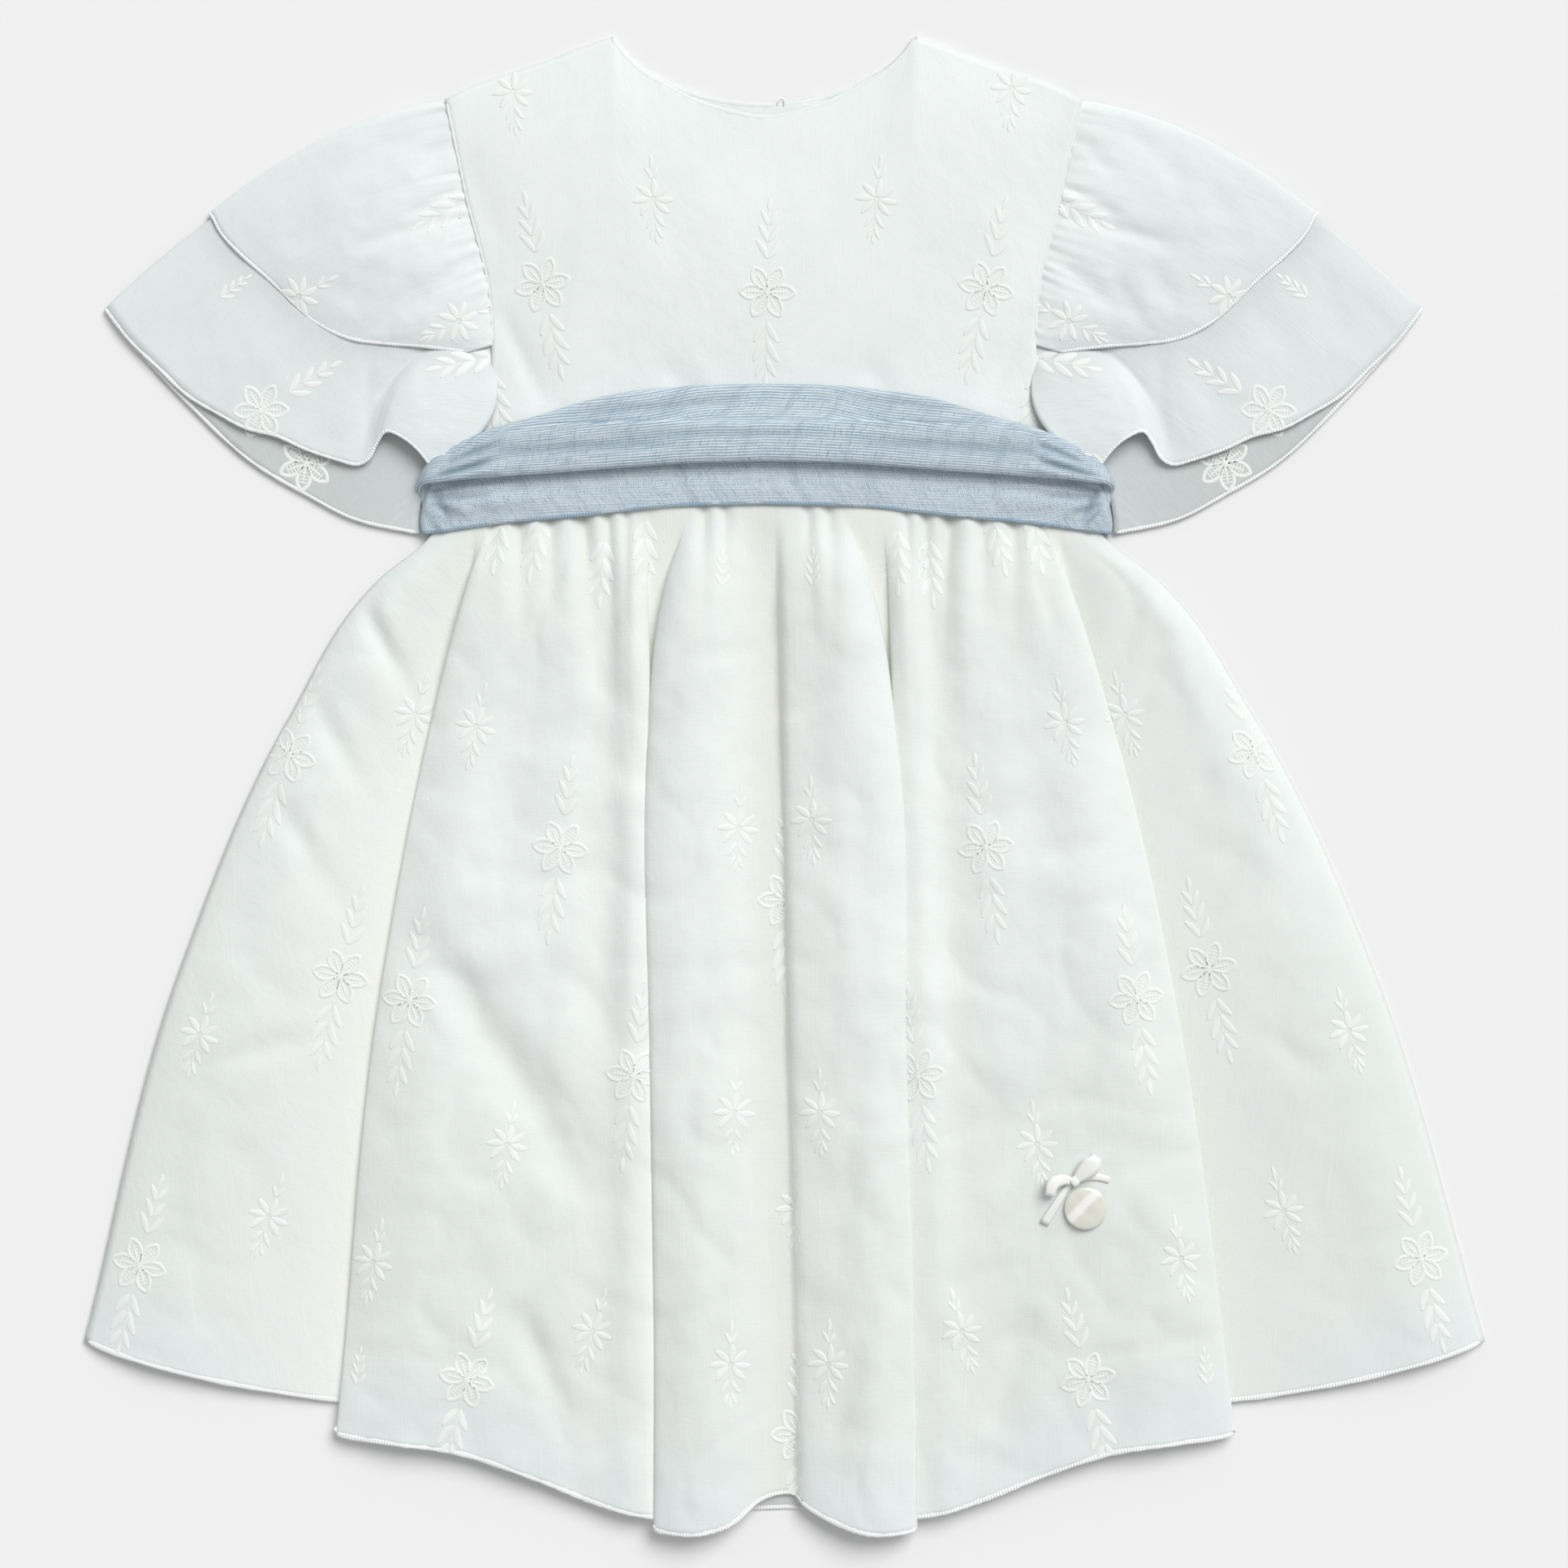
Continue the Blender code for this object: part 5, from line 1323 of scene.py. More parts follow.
def chambray(name, tone):
    """Slubbed blue weave: pale and blue weft crossed by fine warp, with short dark slubs."""
    recipe = Recipe(name)
    uv = recipe.uv()
    across, along = recipe.split(uv, 1), recipe.split(uv, 0)
    wander = recipe.noise(uv, (14.0, 40.0, 1.0), 3.0)
    weft = wave(recipe, along * 5700.0 + wander * 8.0)
    warp = wave(recipe, across * 7400.0 + wander * 4.0)
    yarn = recipe.noise(uv, (1500.0, 90.0, 1.0), 3.0, 0.7)
    fleck = recipe.noise(uv, (900.0, 900.0, 1.0), 2.0, 0.7)
    slub = recipe.spread(recipe.noise(uv, (260.0, 1700.0, 1.0), 3.0, 0.6), 0.56, 0.72)
    streak = recipe.noise(uv, (1100.0, 16.0, 1.0), 2.0, 0.6)
    column = recipe.noise(uv, (8.0, 170.0, 1.0), 3.0, 0.65)
    cloud = recipe.noise(uv, (30.0, 18.0, 1.0), 3.0)
    face = weft * 0.34 + yarn * 0.46 + fleck * 0.20
    reverse = (weft * warp) * 0.42 + fleck * 0.44 + yarn * 0.32
    weave = face + (reverse - face) * recipe.attribute("reverse")
    tint = recipe.mix(recipe.spread(weave, 0.36, 0.66), tone.blue, tone.pale)
    tint = recipe.mix(recipe.attribute("reverse") * 0.24, tint, tone.pale)
    tint = recipe.mix(recipe.spread(streak, 0.48, 0.66) * 0.30, tint, tone.pale)
    tint = recipe.mix(recipe.spread(column, 0.50, 0.70) * 0.26, tint, tone.dark)
    tint = recipe.mix(slub * 0.75, tint, tone.dark)
    tint = recipe.mix(recipe.spread(cloud, 0.3, 0.75) * 0.16, tint, tone.grey)
    # Painted shade: a little darker at the pinched ends, and dark in the creases.
    tint = recipe.mix(recipe.attribute("pinch") * 0.06, tint, tone.deep)
    tint = recipe.mix(recipe.attribute("crease") * 0.6, tint, tone.dark)
    height = weave * 0.55 + warp * 0.15 - slub * 0.25
    return recipe.set(Base_Color=tint, Roughness=0.88, Specular_IOR_Level=0.25, Sheen_Weight=0.1,
                      Normal=recipe.bump(height, 0.6, 0.00035))


def overlock(name, colour, shade):
    """Close machine stitches over a hem edge."""
    recipe = Recipe(name)
    uv = recipe.uv()
    stitch = wave(recipe, recipe.split(uv, 0) * 5200.0 + recipe.split(uv, 1) * 1400.0)
    fuzz = recipe.noise(uv, (1800.0, 1800.0, 1.0), 2.0)
    tint = recipe.mix(stitch * 0.7 + fuzz * 0.3, shade, colour)
    return recipe.set(Base_Color=tint, Roughness=0.8, Specular_IOR_Level=0.3,
                      Normal=recipe.bump(stitch + fuzz * 0.4, 0.6, 0.0003))


def satin_ribbon(name, colour):
    """Ribbed satin, a little greyer between its ribs."""
    recipe = Recipe(name)
    uv = recipe.uv()
    rib = recipe.noise(uv, (60.0, 2600.0, 1.0), 2.0)
    tint = recipe.mix(rib * 0.3, colour, (0.78, 0.79, 0.76))
    return recipe.set(Base_Color=tint, Roughness=0.38, Specular_IOR_Level=0.5, Sheen_Weight=0.15,
                      Normal=recipe.bump(rib, 0.3, 0.0002))


# A painted highlight: a bright streak lies at 45 degrees across the shell disc, shifted from its middle.
ASKEW = 0.707
HIGHLIGHT_SHIFT = 2.0


def nacre(name, colour, shade):
    """Polished shell: cloudy growth lines under a clear gloss, with a painted highlight streak."""
    recipe = Recipe(name)
    place = recipe.node("ShaderNodeTexCoord", None, None, "Object")
    bands = recipe.node("ShaderNodeTexWave", {"wave_type": "BANDS", "bands_direction": "DIAGONAL"},
                        {"Vector": recipe.scaled(place, (70.0, 70.0, 70.0)), "Scale": 1.2,
                         "Distortion": 5.0, "Detail": 3.0, "Detail Scale": 1.2})
    cloud = recipe.noise(place, (260.0, 260.0, 260.0), 3.0)
    east, north = recipe.split(place, 0), recipe.split(place, 1)
    askew = (north - east) * (ASKEW / MM) + cloud * 1.2 + (ASKEW * (CHARM_X - CHARM_Y) - HIGHLIGHT_SHIFT)
    streak = recipe.node("ShaderNodeMath", {"operation": "ABSOLUTE"}, {0: askew})
    tint = recipe.mix(bands * 0.45, colour, shade)
    tint = recipe.mix(recipe.spread(cloud, 0.45, 0.7) * 0.5, tint, (0.80, 0.78, 0.75))
    # Painted highlight along the streak.
    tint = recipe.mix((1.0 - recipe.spread(streak, 1.0, 2.3)) * 0.95, tint, (0.93, 0.92, 0.90))
    return recipe.set(Base_Color=tint, Roughness=0.22, Coat_Weight=0.6, Specular_IOR_Level=0.6,
                      Normal=recipe.bump(bands, 0.15, 0.0002))


def resin(name, colour):
    """Cloudy pale button resin."""
    recipe = Recipe(name)
    place = recipe.node("ShaderNodeTexCoord", None, None, "Object")
    cloud = recipe.noise(place, (420.0, 420.0, 420.0), 3.0)
    tint = recipe.mix(recipe.spread(cloud, 0.4, 0.7), colour, (0.80, 0.80, 0.77))
    return recipe.set(Base_Color=tint, Roughness=0.3, Normal=recipe.bump(cloud, 0.1, 0.0002))


def paper_floor(name, colour):
    """A plain matte sheet with the faintest grain."""
    recipe = Recipe(name)
    place = recipe.node("ShaderNodeTexCoord", None, None, "Object")
    grain = recipe.noise(place, (700.0, 700.0, 700.0), 3.0)
    tint = recipe.mix(grain * 0.01, colour, (0.80, 0.80, 0.80))
    return recipe.set(Base_Color=tint, Roughness=0.95, Specular_IOR_Level=0.1,
                      Normal=recipe.bump(grain, 0.02, 0.0002))


# How far the cloth may rise from a half-hidden flower, and from corner to corner of a face, before
# stitches are left off. All stitches start a little inside the cloth.
HIDDEN_STEP = 1.2
FACE_STEP = 1.1
STITCH_SUNK = 0.06
# One stitched line: its path, its half width at each point and its relief.
Stitch = namedtuple("Stitch", "path widths relief")
STITCH_ACROSS = (-1.0, -0.8, -0.35, 0.35, 0.8, 1.0)
# Half width under which a stitched line lies flatter.
FULL_STITCH = 0.4
LEAF_RELIEF = 0.27
RIM_RELIEF = 0.31
VEIN_RELIEF = 0.26
RUNG_RELIEF = 0.18
STEM_RELIEF = 0.22
STAR_RELIEF = 0.29
HEART_RELIEF = 0.33
LEAF_STEPS = 7
STEM_STEPS = 8
STEM_HALF = 0.26
PETALS = 6
PETAL_REACH = 10.9
PETAL_WIDTH = 5.2
RIM_HALF = 0.82
# Half a petal's rim: part of its reach, and part of its width to one side.
PETAL_RIM = ((0.12, 0.14), (0.30, 0.38), (0.52, 0.50), (0.74, 0.44), (0.90, 0.22), (0.98, 0.0))
# A pair of leaves: its place along the stem, and each leaf's length, angle and width.
Pair = namedtuple("Pair", "place length angle width")
UPPER_PAIRS = (Pair(0.4, 8.4, 31.0, 3.0), Pair(7.0, 7.4, 28.0, 2.8), Pair(13.6, 6.2, 25.0, 2.5))
LOWER_PAIRS = (Pair(0.3, 8.8, 150.0, 3.2), Pair(7.0, 9.6, 152.0, 3.5), Pair(14.6, 7.6, 152.0, 2.9))
# Bearings of a star's leaves, clear of its stem.
STAR_LEAVES = (4.0, 50.0, 96.0, 138.0, 222.0, 266.0, 312.0)
STAR_ROOT = 1.1


def leaf(x, y, angle, length, width, relief=LEAF_RELIEF):
    """A filled almond of satin stitch from its root, with a slight curve."""
    path, widths = [], []
    for step in range(LEAF_STEPS + 1):
        part = step / LEAF_STEPS
        sway = 0.05 * length * math.sin(math.pi * part)
        turn = math.radians(angle)
        path.append((x + part * length * math.sin(turn) + sway * math.cos(turn),
                     y + part * length * math.cos(turn) - sway * math.sin(turn)))
        widths.append(0.5 * width * max(0.12, math.sin(math.pi * (0.08 + 0.86 * part)) ** 0.7))
    return Stitch(path, widths, relief)


def petal_outline(angle, reach, width):
    """A corded loop round one pointed petal, with its vein and ladder stitches."""
    turn = math.radians(angle)

    def spot(along, across):
        return (along * reach * math.sin(turn) + across * width * math.cos(turn),
                along * reach * math.cos(turn) - across * width * math.sin(turn))

    rim = [Vector(spot(along, across)) for along, across in PETAL_RIM]
    rim += [Vector(spot(along, -across)) for along, across in PETAL_RIM[-2::-1]]
    path = through(rim, [3] * (len(rim) - 1))
    vein = [spot(along, 0.0) for along in (0.04, 0.25, 0.5, 0.74)]
    rungs = [Stitch([spot(along - 0.02, -0.34), spot(along + 0.01, 0.0), spot(along - 0.02, 0.34)],
                    [0.3, 0.34, 0.3], RUNG_RELIEF) for along in (0.34, 0.46, 0.58, 0.70)]
    return [Stitch(path, [RIM_HALF] * len(path), RIM_RELIEF),
            Stitch(vein, [0.5, 0.55, 0.5, 0.25], VEIN_RELIEF)] + rungs


def stem(low, high):
    """A thin straight line up the middle of a sprig."""
    path = [(0.0, low + (high - low) * step / STEM_STEPS) for step in range(STEM_STEPS + 1)]
    return Stitch(path, [STEM_HALF] * len(path), STEM_RELIEF)


def leaf_pairs(base, scale, way, pairs):
    """Pairs of leaves along a stem that runs up where the way is 1, and down where it is -1."""
    return [leaf(0.25 * side, base + way * pair.place * scale, side * pair.angle,
                 pair.length * scale, pair.width * scale) for pair in pairs for side in (-1, 1)]


def upper_spray(base, scale):
    """Leaf pairs that point up a stem, smaller towards the tip."""
    made = [stem(base, base + 20.0 * scale)] + leaf_pairs(base, scale, 1, UPPER_PAIRS)
    return made + [leaf(0.0, base + 19.4 * scale, 3.0, 5.2 * scale, 2.3 * scale)]


def lower_spray(base, scale):
    """Fuller leaf pairs that point down a stem, smaller towards the tip."""
    made = [stem(base - 22.0 * scale, base)] + leaf_pairs(base, scale, -1, LOWER_PAIRS)
    return made + [leaf(0.0, base - 20.4 * scale, 178.0, 6.4 * scale, 2.4 * scale)]


def star():
    """A star of seven leaves with a short spray over it and a longer one under it."""
    made = [leaf(STAR_ROOT * math.sin(math.radians(turn)), STAR_ROOT * math.cos(math.radians(turn)), turn,
                 6.9, 3.1, STAR_RELIEF) for turn in STAR_LEAVES]
    made += leaf_pairs(8.4, 1.0, 1, [Pair(0.0, 4.6, 26.0, 1.8)])
    made += [stem(6.0, 15.0), leaf(0.0, 12.4, 2.0, 5.4, 1.9), stem(-15.5, -2.0)]
    made += leaf_pairs(-6.4, 1.0, -1, [Pair(0.0, 5.8, 146.0, 2.1), Pair(4.6, 5.2, 156.0, 1.9)])
    return made + [leaf(0.0, -13.0, 180.0, 4.8, 1.6)]


def sprig_stitches(kind):
    """The stitched lines of one kind of sprig, upright about its flower."""
    flower = [line for petal in range(PETALS)
              for line in petal_outline((petal + 0.5) * 360.0 / PETALS, PETAL_REACH, PETAL_WIDTH)]
    flower.append(leaf(0.0, -1.5, 0.0, 3.0, 3.0, HEART_RELIEF))
    if kind == "big":
        return flower + upper_spray(13.0, 1.0) + lower_spray(-11.6, 1.0)
    if kind == "big_top":
        return flower + upper_spray(13.0, 1.0)
    if kind == "flower":
        return flower + leaf_pairs(-11.0, 1.0, -1, [Pair(0.3, 7.0, 149.0, 2.4)])
    if kind == "star":
        return star()
    if kind == "bud":
        return upper_spray(-8.0, 0.62)
    return lower_spray(12.0, 1.0)


def stitch_patch(stitch):
    """Points, faces and cloth places of one raised stitched line."""
    path = np.array(stitch.path)
    along = np.gradient(path, axis=0)
    along /= np.linalg.norm(along, axis=1)[:, None] + 1e-9
    sideways = np.stack([-along[:, 1], along[:, 0]], axis=1)
    length = np.concatenate([[0.0], np.cumsum(np.linalg.norm(np.diff(path, axis=0), axis=1))])
    points, places = [], []
    for index in range(len(path)):
        for across in STITCH_ACROSS:
            spot = path[index] + sideways[index] * across * stitch.widths[index]
            crown = math.sqrt(max(0.0, 1.0 - across * across))
            lift = stitch.relief * crown * min(1.0, stitch.widths[index] / FULL_STITCH)
            points.append((spot[0], spot[1], lift))
            places.append((across * stitch.widths[index], length[index]))
    return points, grid_faces(len(path), len(STITCH_ACROSS)), places


def sprig_pattern(kind):
    """Points, faces and cloth places of one whole sprig."""
    points, faces, places = [], [], []
    for stitch in sprig_stitches(kind):
        more, quads, spots = stitch_patch(stitch)
        start = len(points)
        points += more
        faces += [tuple(corner + start for corner in quad) for quad in quads]
        places += spots
    return np.array(points), faces, np.array(places)


def surface_of(grid):
    """A search tree of a cloth, in metres."""
    return BVHTree.FromPolygons([Vector(point) * MM for point in grid.reshape(-1, 3)],
                                grid_faces(*grid.shape[:2]))


def laid_on(surface, x, y):
    """Height of the cloth's middle at a page point, in metres, or None where there is no cloth."""
    place, *_ = surface.ray_cast(Vector((x * MM, y * MM, 0.1)), Vector((0.0, 0.0, -1.0)))
    return place.z if place else None


def fold_edge(name, side):
    """Page heights and places across of one fold line of the front skirt, from hem to waist."""
    fold = next(fold for fold in HALF_FOLDS + CENTRE_FOLDS if fold.name == name)
    line = [fold_point(fold, side, step / 40) for step in range(40, -1, -1)]
    return [point.y for point in line], [point.x for point in line]


def embroider(name, sprigs, surface, thickness, material, edges=()):
    """Stitches sprigs onto a cloth; a face that would pass a fold's edge is left off."""
    patterns = {kind: sprig_pattern(kind) for kind in {sprig.kind for sprig in sprigs}}
    points, faces, places = [], [], []
    for sprig in sprigs:
        pattern, quads, spots = patterns[sprig.kind]
        turn = math.radians(-sprig.turn)
        heights, spun = [], []
        beyond = [sprig.x > np.interp(sprig.y, *edge) for edge in edges]
        for x, y, lift in pattern:
            page_x = sprig.x + x * math.cos(turn) - y * math.sin(turn)
            page_y = sprig.y + x * math.sin(turn) + y * math.cos(turn)
            passed = [page_x > np.interp(page_y, *edge) for edge in edges]
            top = laid_on(surface, page_x, page_y) if passed == beyond else None
            heights.append(top)
            rise = (top or 0.0) / MM + 0.5 * thickness - STITCH_SUNK + lift
            spun.append((page_x, page_y, rise))
        start = len(points)
        points += spun
        places += list(spots)
        own = laid_on(surface, sprig.x, sprig.y) or 0.0
        limit = own + HIDDEN_STEP * MM if sprig.kind == "flower" else math.inf
        for quad in quads:
            tops = [heights[corner] for corner in quad]
            if None not in tops and max(tops) - min(tops) < FACE_STEP * MM and max(tops) < limit:
                faces.append(tuple(corner + start for corner in quad))
    used = sorted({corner for quad in faces for corner in quad})
    order = {corner: index for index, corner in enumerate(used)}
    mesh = bpy.data.meshes.new(name)
    mesh.from_pydata([Vector(points[corner]) * MM for corner in used], [],
                     [tuple(order[corner] for corner in quad) for quad in faces])
    set_uv(mesh, np.array([places[corner] for corner in used]) * MM)
    return finish_piece(name, mesh, material)


def size_property(name, description, default, low, high):
    """A size in millimetres that a user may change."""
    return bpy.props.FloatProperty(name=name, description=description, default=default, min=low, max=high)


class DressSizes(bpy.types.PropertyGroup):
    """Sizes of the cloth and trims."""

    cloth: size_property("Cloth", "Thickness of the shown voile, in millimetres", 0.6, 0.2, 1.2)
    sash_cloth: size_property("Sash cloth", "Thickness of the shown sash, in millimetres", 0.7, 0.2, 1.2)
    skirt_hem: size_property("Skirt hem", "Width of the skirt's hems, in millimetres", 2.2, 0.8, 5.0)
    sleeve_hem: size_property("Sleeve hem", "Width of the sleeves' hems, in millimetres", 1.5, 0.6, 4.0)
    sash_hem: size_property("Sash hem", "Width of the sash's edge, in millimetres", 1.8, 0.6, 4.0)
    weave_bump: bpy.props.FloatProperty(name="Weave", description="Strength of the voile's thread relief",
                                        default=0.5, min=0.0, max=1.0, subtype="FACTOR")


def colour_property(name, description, default):
    """A colour that a user may change."""
    return bpy.props.FloatVectorProperty(name=name, description=description, default=default,
                                         subtype="COLOR", size=3, min=0.0, max=1.0)


class DressColours(bpy.types.PropertyGroup):
    """Colours of the dress and its floor."""

    voile: colour_property("Voile", "Lit colour of the white cloth", (0.848, 0.889, 0.874))
    voile_shade: colour_property("Voile shade", "Cooler patches of the white cloth", (0.815, 0.858, 0.850))
    # Painted warm shade in the skirt's folds and hollows.
    voile_warm: colour_property("Voile warm", "Warm tone in the folds", (0.775, 0.793, 0.735))
    # Painted shade: the skirt darker towards its hem and sides.
    voile_low: colour_property("Voile low", "Thin cloth of the lower skirt", (0.760, 0.800, 0.775))
    voile_hem: colour_property("Voile hem", "Cool tone just over the hem", (0.745, 0.795, 0.81))
    sleeve: colour_property("Sleeve", "Sleeves by the armhole", (0.835, 0.880, 0.872))
    # Painted shade: the sleeves darker towards their hems, much darker on a single back layer.
    sleeve_low: colour_property("Sleeve low", "Sleeves towards their hems", (0.745, 0.797, 0.797))
    sleeve_back_shade: colour_property("Sleeve back", "Single layer behind a sleeve", (0.565, 0.60, 0.595))
    hem: colour_property("Hem", "Rolled hems of skirt and sleeves", (0.93, 0.95, 0.945))
    hem_shade: colour_property("Hem shade", "Between the hems' stitches", (0.87, 0.90, 0.895))
    thread: colour_property("Thread", "Embroidery thread", (0.875, 0.90, 0.87))
    thread_shade: colour_property("Thread shade", "Between the stitches", (0.815, 0.842, 0.812))
    sash_blue: colour_property("Sash blue", "Blue yarn of the sash", (0.27, 0.39, 0.49))
    sash_pale: colour_property("Sash pale", "Pale yarn of the sash", (0.74, 0.805, 0.84))
    # Also the painted shade in the sash's creases.
    sash_dark: colour_property("Sash dark", "Slubs of the sash", (0.15, 0.215, 0.285))
    sash_grey: colour_property("Sash grey", "Faded patches of the sash", (0.64, 0.67, 0.71))
    sash_edge: colour_property("Sash edge", "Stitched edge of the sash", (0.36, 0.50, 0.63))
    ribbon: colour_property("Ribbon", "Charm ribbon", (0.90, 0.91, 0.88))
    shell: colour_property("Shell", "Shell disc", (0.745, 0.745, 0.665))
    shell_shade: colour_property("Shell shade", "Growth lines of the shell", (0.66, 0.66, 0.58))
    button: colour_property("Button", "Resin button", (0.88, 0.88, 0.86))
    floor: colour_property("Floor", "Plain floor", (0.871, 0.871, 0.871))


def sizes():
    return bpy.context.scene.dress_sizes


def colours():
    return bpy.context.scene.dress_colours


def darker(colour, share):
    return tuple(share * part for part in colour)


def made_once(name, make, *parts):
    """A material by its name, made the first time that a piece needs it."""
    return bpy.data.materials.get(name) or make(name, *parts)


def voile_tones(base, shade, low):
    """Colours of one voile: its two base tones, and those that its marks bring in."""
    tone = colours()
    return VoileTones(base, shade, tuple(tone.voile_warm), low, tuple(tone.voile_hem),
                      tuple(tone.sleeve_back_shade), darker(base, 0.84), (0.93, 0.95, 0.94))


def voile_material():
    tone = colours()
    tones = voile_tones(tuple(tone.voile), tuple(tone.voile_shade), tuple(tone.voile_low))
    return made_once("white voile", voile, sizes().weave_bump, tones)


def sleeve_material():
    base = tuple(colours().sleeve)
    tones = voile_tones(base, darker(base, 0.955), tuple(colours().sleeve_low))
    return made_once("thin sleeve voile", voile, sizes().weave_bump, tones)


def hem_material():
    return made_once("rolled voile", overlock, tuple(colours().hem), tuple(colours().hem_shade))


def thread_material(name="white embroidery thread", share=1.0):
    tone = colours()
    return made_once(name, thread_finish, darker(tone.thread, share), darker(tone.thread_shade, share))


class DRESS_OT_skirt(bpy.types.Operator):
    """Gathered front skirt over the plain back skirt, with rolled hems"""

    bl_idname = "dress.skirt"
    bl_label = "Skirt"

    def execute(self, context):
        cloth = sizes().cloth
        front, warm, glow = skirt_front_parts()
        roll = Roll(sizes().skirt_hem, HEM_THICK, FRONT_HEM_PITCH)
        hem = rolled_edge("skirt_front_hem", front[-1], front[-2], roll, hem_material())
        # Painted warm shade, glow and a darker lower skirt.
        marks = {"warm": warm, "glow": glow, "low": thinning(front), "hem": ramp(front, 0.90, 0.98)}
        item = cloth_piece("skirt_front", front, cloth, voile_material(), marks)
        back = skirt_back_grid()
        roll = Roll(sizes().skirt_hem, HEM_THICK, HEM_PITCH)
        hem = rolled_edge("skirt_back_hem", back[-1], back[-2], roll, hem_material())
        item = cloth_piece("skirt_back", back, cloth, voile_material(), {"low": thinning(back)})
        return {"FINISHED"}


class DRESS_OT_bodice(bpy.types.Operator):
    """Front and back bodice with the bound neck edges"""

    bl_idname = "dress.bodice"
    bl_label = "Bodice"

    def execute(self, context):
        cloth = sizes().cloth
        front = bodice_front_grid()
        material = voile_material()
        neck_columns = (len(FRONT_NECK) - 1) * TOP_CELLS
        middle = front.shape[1] // 2
        neck = slice(middle - neck_columns, middle + neck_columns + 1)
        binding = rolled_edge("front_neck_binding", front[0, neck], front[2, neck], FRONT_BINDING, material)
        armhole = slice(0, int(ARMHOLE_SHARE * BODICE_STEPS))
        for word, edge, inner in (("left", 0, 2), ("right", -1, -3)):
            rolled_edge("armhole_seam_" + word, front[armhole, edge], front[armhole, inner], ARMHOLE_SEAM,
                        material)
        item = cloth_piece("bodice_front", front, cloth, material, {})
        backs = {word: as_grid(bodice_rows(BACK_NECK, side, False)) for side, word in SIDES}
        neckline = np.concatenate([backs["left"][:3, neck_columns:0:-1],
                                   backs["right"][:3, :neck_columns + 1]], axis=1)
        binding = rolled_edge("back_neck_binding", neckline[0], neckline[2], BACK_BINDING, material)
        for word, back in backs.items():
            item = cloth_piece("bodice_back_" + word, back, cloth, material, {})
        return {"FINISHED"}


class DRESS_OT_sleeves(bpy.types.Operator):
    """Two flutter tiers on each side, with narrow rolled hems"""

    bl_idname = "dress.sleeves"
    bl_label = "Sleeves"

    def execute(self, context):
        roll = Roll(sizes().sleeve_hem, SLEEVE_HEM_THICK, HEM_PITCH)
        for side, word in SIDES:
            outer, inner = outer_sleeve_grid(side), inner_sleeve_grid(side)
            front_hem = outer[-1, fold_column(OUTER_RAYS):]
            # Painted shade: the outer tier darker towards its hem, the inner one lit on its flute and shaded
            # under the outer tier's hem.
            outer_marks = {"low": ramp(outer, 0.05, 0.75)}
            inner_marks = {"low": 1.0 - 0.6 * flute_share(inner),
                           "shade": SLEEVE_SHADE * shaded_by(inner, front_hem, reach=7.0)}
            for tier, grid, rays, flat, area, marks in (
                    ("outer", outer, OUTER_RAYS, (0.24, 0.10), 0.0140, outer_marks),
                    ("inner", inner, INNER_RAYS, (0.26, 0.14), 0.0285, inner_marks)):
                name = f"sleeve_{tier}_{word}"
                hem = rolled_edge(name + "_hem", grid[-1], grid[-2], roll, hem_material())
                half = np.abs(grid[..., 0] - centre_x(FLUTE_Y))
                underarm = np.clip((UNDERARM_HALF - half) / UNDERARM_FADE, 0.0, 1.0)
                # Painted shade on the back layer, lighter under the arm.
                marks["single"] = single_layer(grid, rays) * (1.0 - UNDERARM_LIT * underarm)
                item = cloth_piece(name, grid, sizes().cloth, sleeve_material(), marks)
        return {"FINISHED"}


class DRESS_OT_sash(bpy.types.Operator):
    """The folded blue waist sash and its stitched edges"""

    bl_idname = "dress.sash"
    bl_label = "Sash"

    def execute(self, context):
        tone = colours()
        blue = tuple(tone.sash_blue)
        # The last yarn tone is the painted shade of the pinched ends.
        yarns = SashTones(blue, tuple(tone.sash_pale), tuple(tone.sash_dark), tuple(tone.sash_grey),
                          darker(blue, 0.9))
        grid = sash_grid()
        edge = overlock("blue stitched edge", tuple(tone.sash_edge), darker(tone.sash_edge, 0.72))
        closed = np.concatenate([grid, grid[:1]])
        roll = Roll(sizes().sash_hem, SASH_HEM_THICK, SASH_HEM_PITCH)
        hem = rolled_edge("sash_edge", closed[:, 0], closed[:, 1], roll, edge)
        item = cloth_piece("sash", grid, sizes().sash_cloth, chambray("blue chambray", yarns),
                           sash_marks(grid), looped=True)
        return {"FINISHED"}


class DRESS_OT_embroidery(bpy.types.Operator):
    """Raised flower sprigs laid on the cloth"""

    bl_idname = "dress.embroidery"
    bl_label = "Embroidery"

    def execute(self, context):
        cloth = sizes().cloth
        thread = thread_material("soft embroidery thread", 0.985)
        edges = [fold_edge("roll_edge", -1), fold_edge("roll_edge", 1), fold_edge("edge_crisp", -1)]
        skirt, bodice = surface_of(skirt_front_parts()[0]), surface_of(bodice_front_grid())
        embroider("skirt_embroidery", SKIRT_SPRIGS, skirt, cloth, thread, edges)
        embroider("bodice_embroidery", BODICE_SPRIGS, bodice, cloth, thread)
        for side, word in SIDES:
            for tier, grid, table in (("outer", outer_sleeve_grid(side), OUTER_SPRIGS),
                                      ("inner", inner_sleeve_grid(side), INNER_SPRIGS)):
                if side > 0:
                    table = [row._replace(x=2 * centre_x(row.y) - row.x, turn=-row.turn) for row in table]
                embroider(f"sleeve_{tier}_{word}_embroidery", table, surface_of(grid), cloth,
                          thread_material())
        return {"FINISHED"}


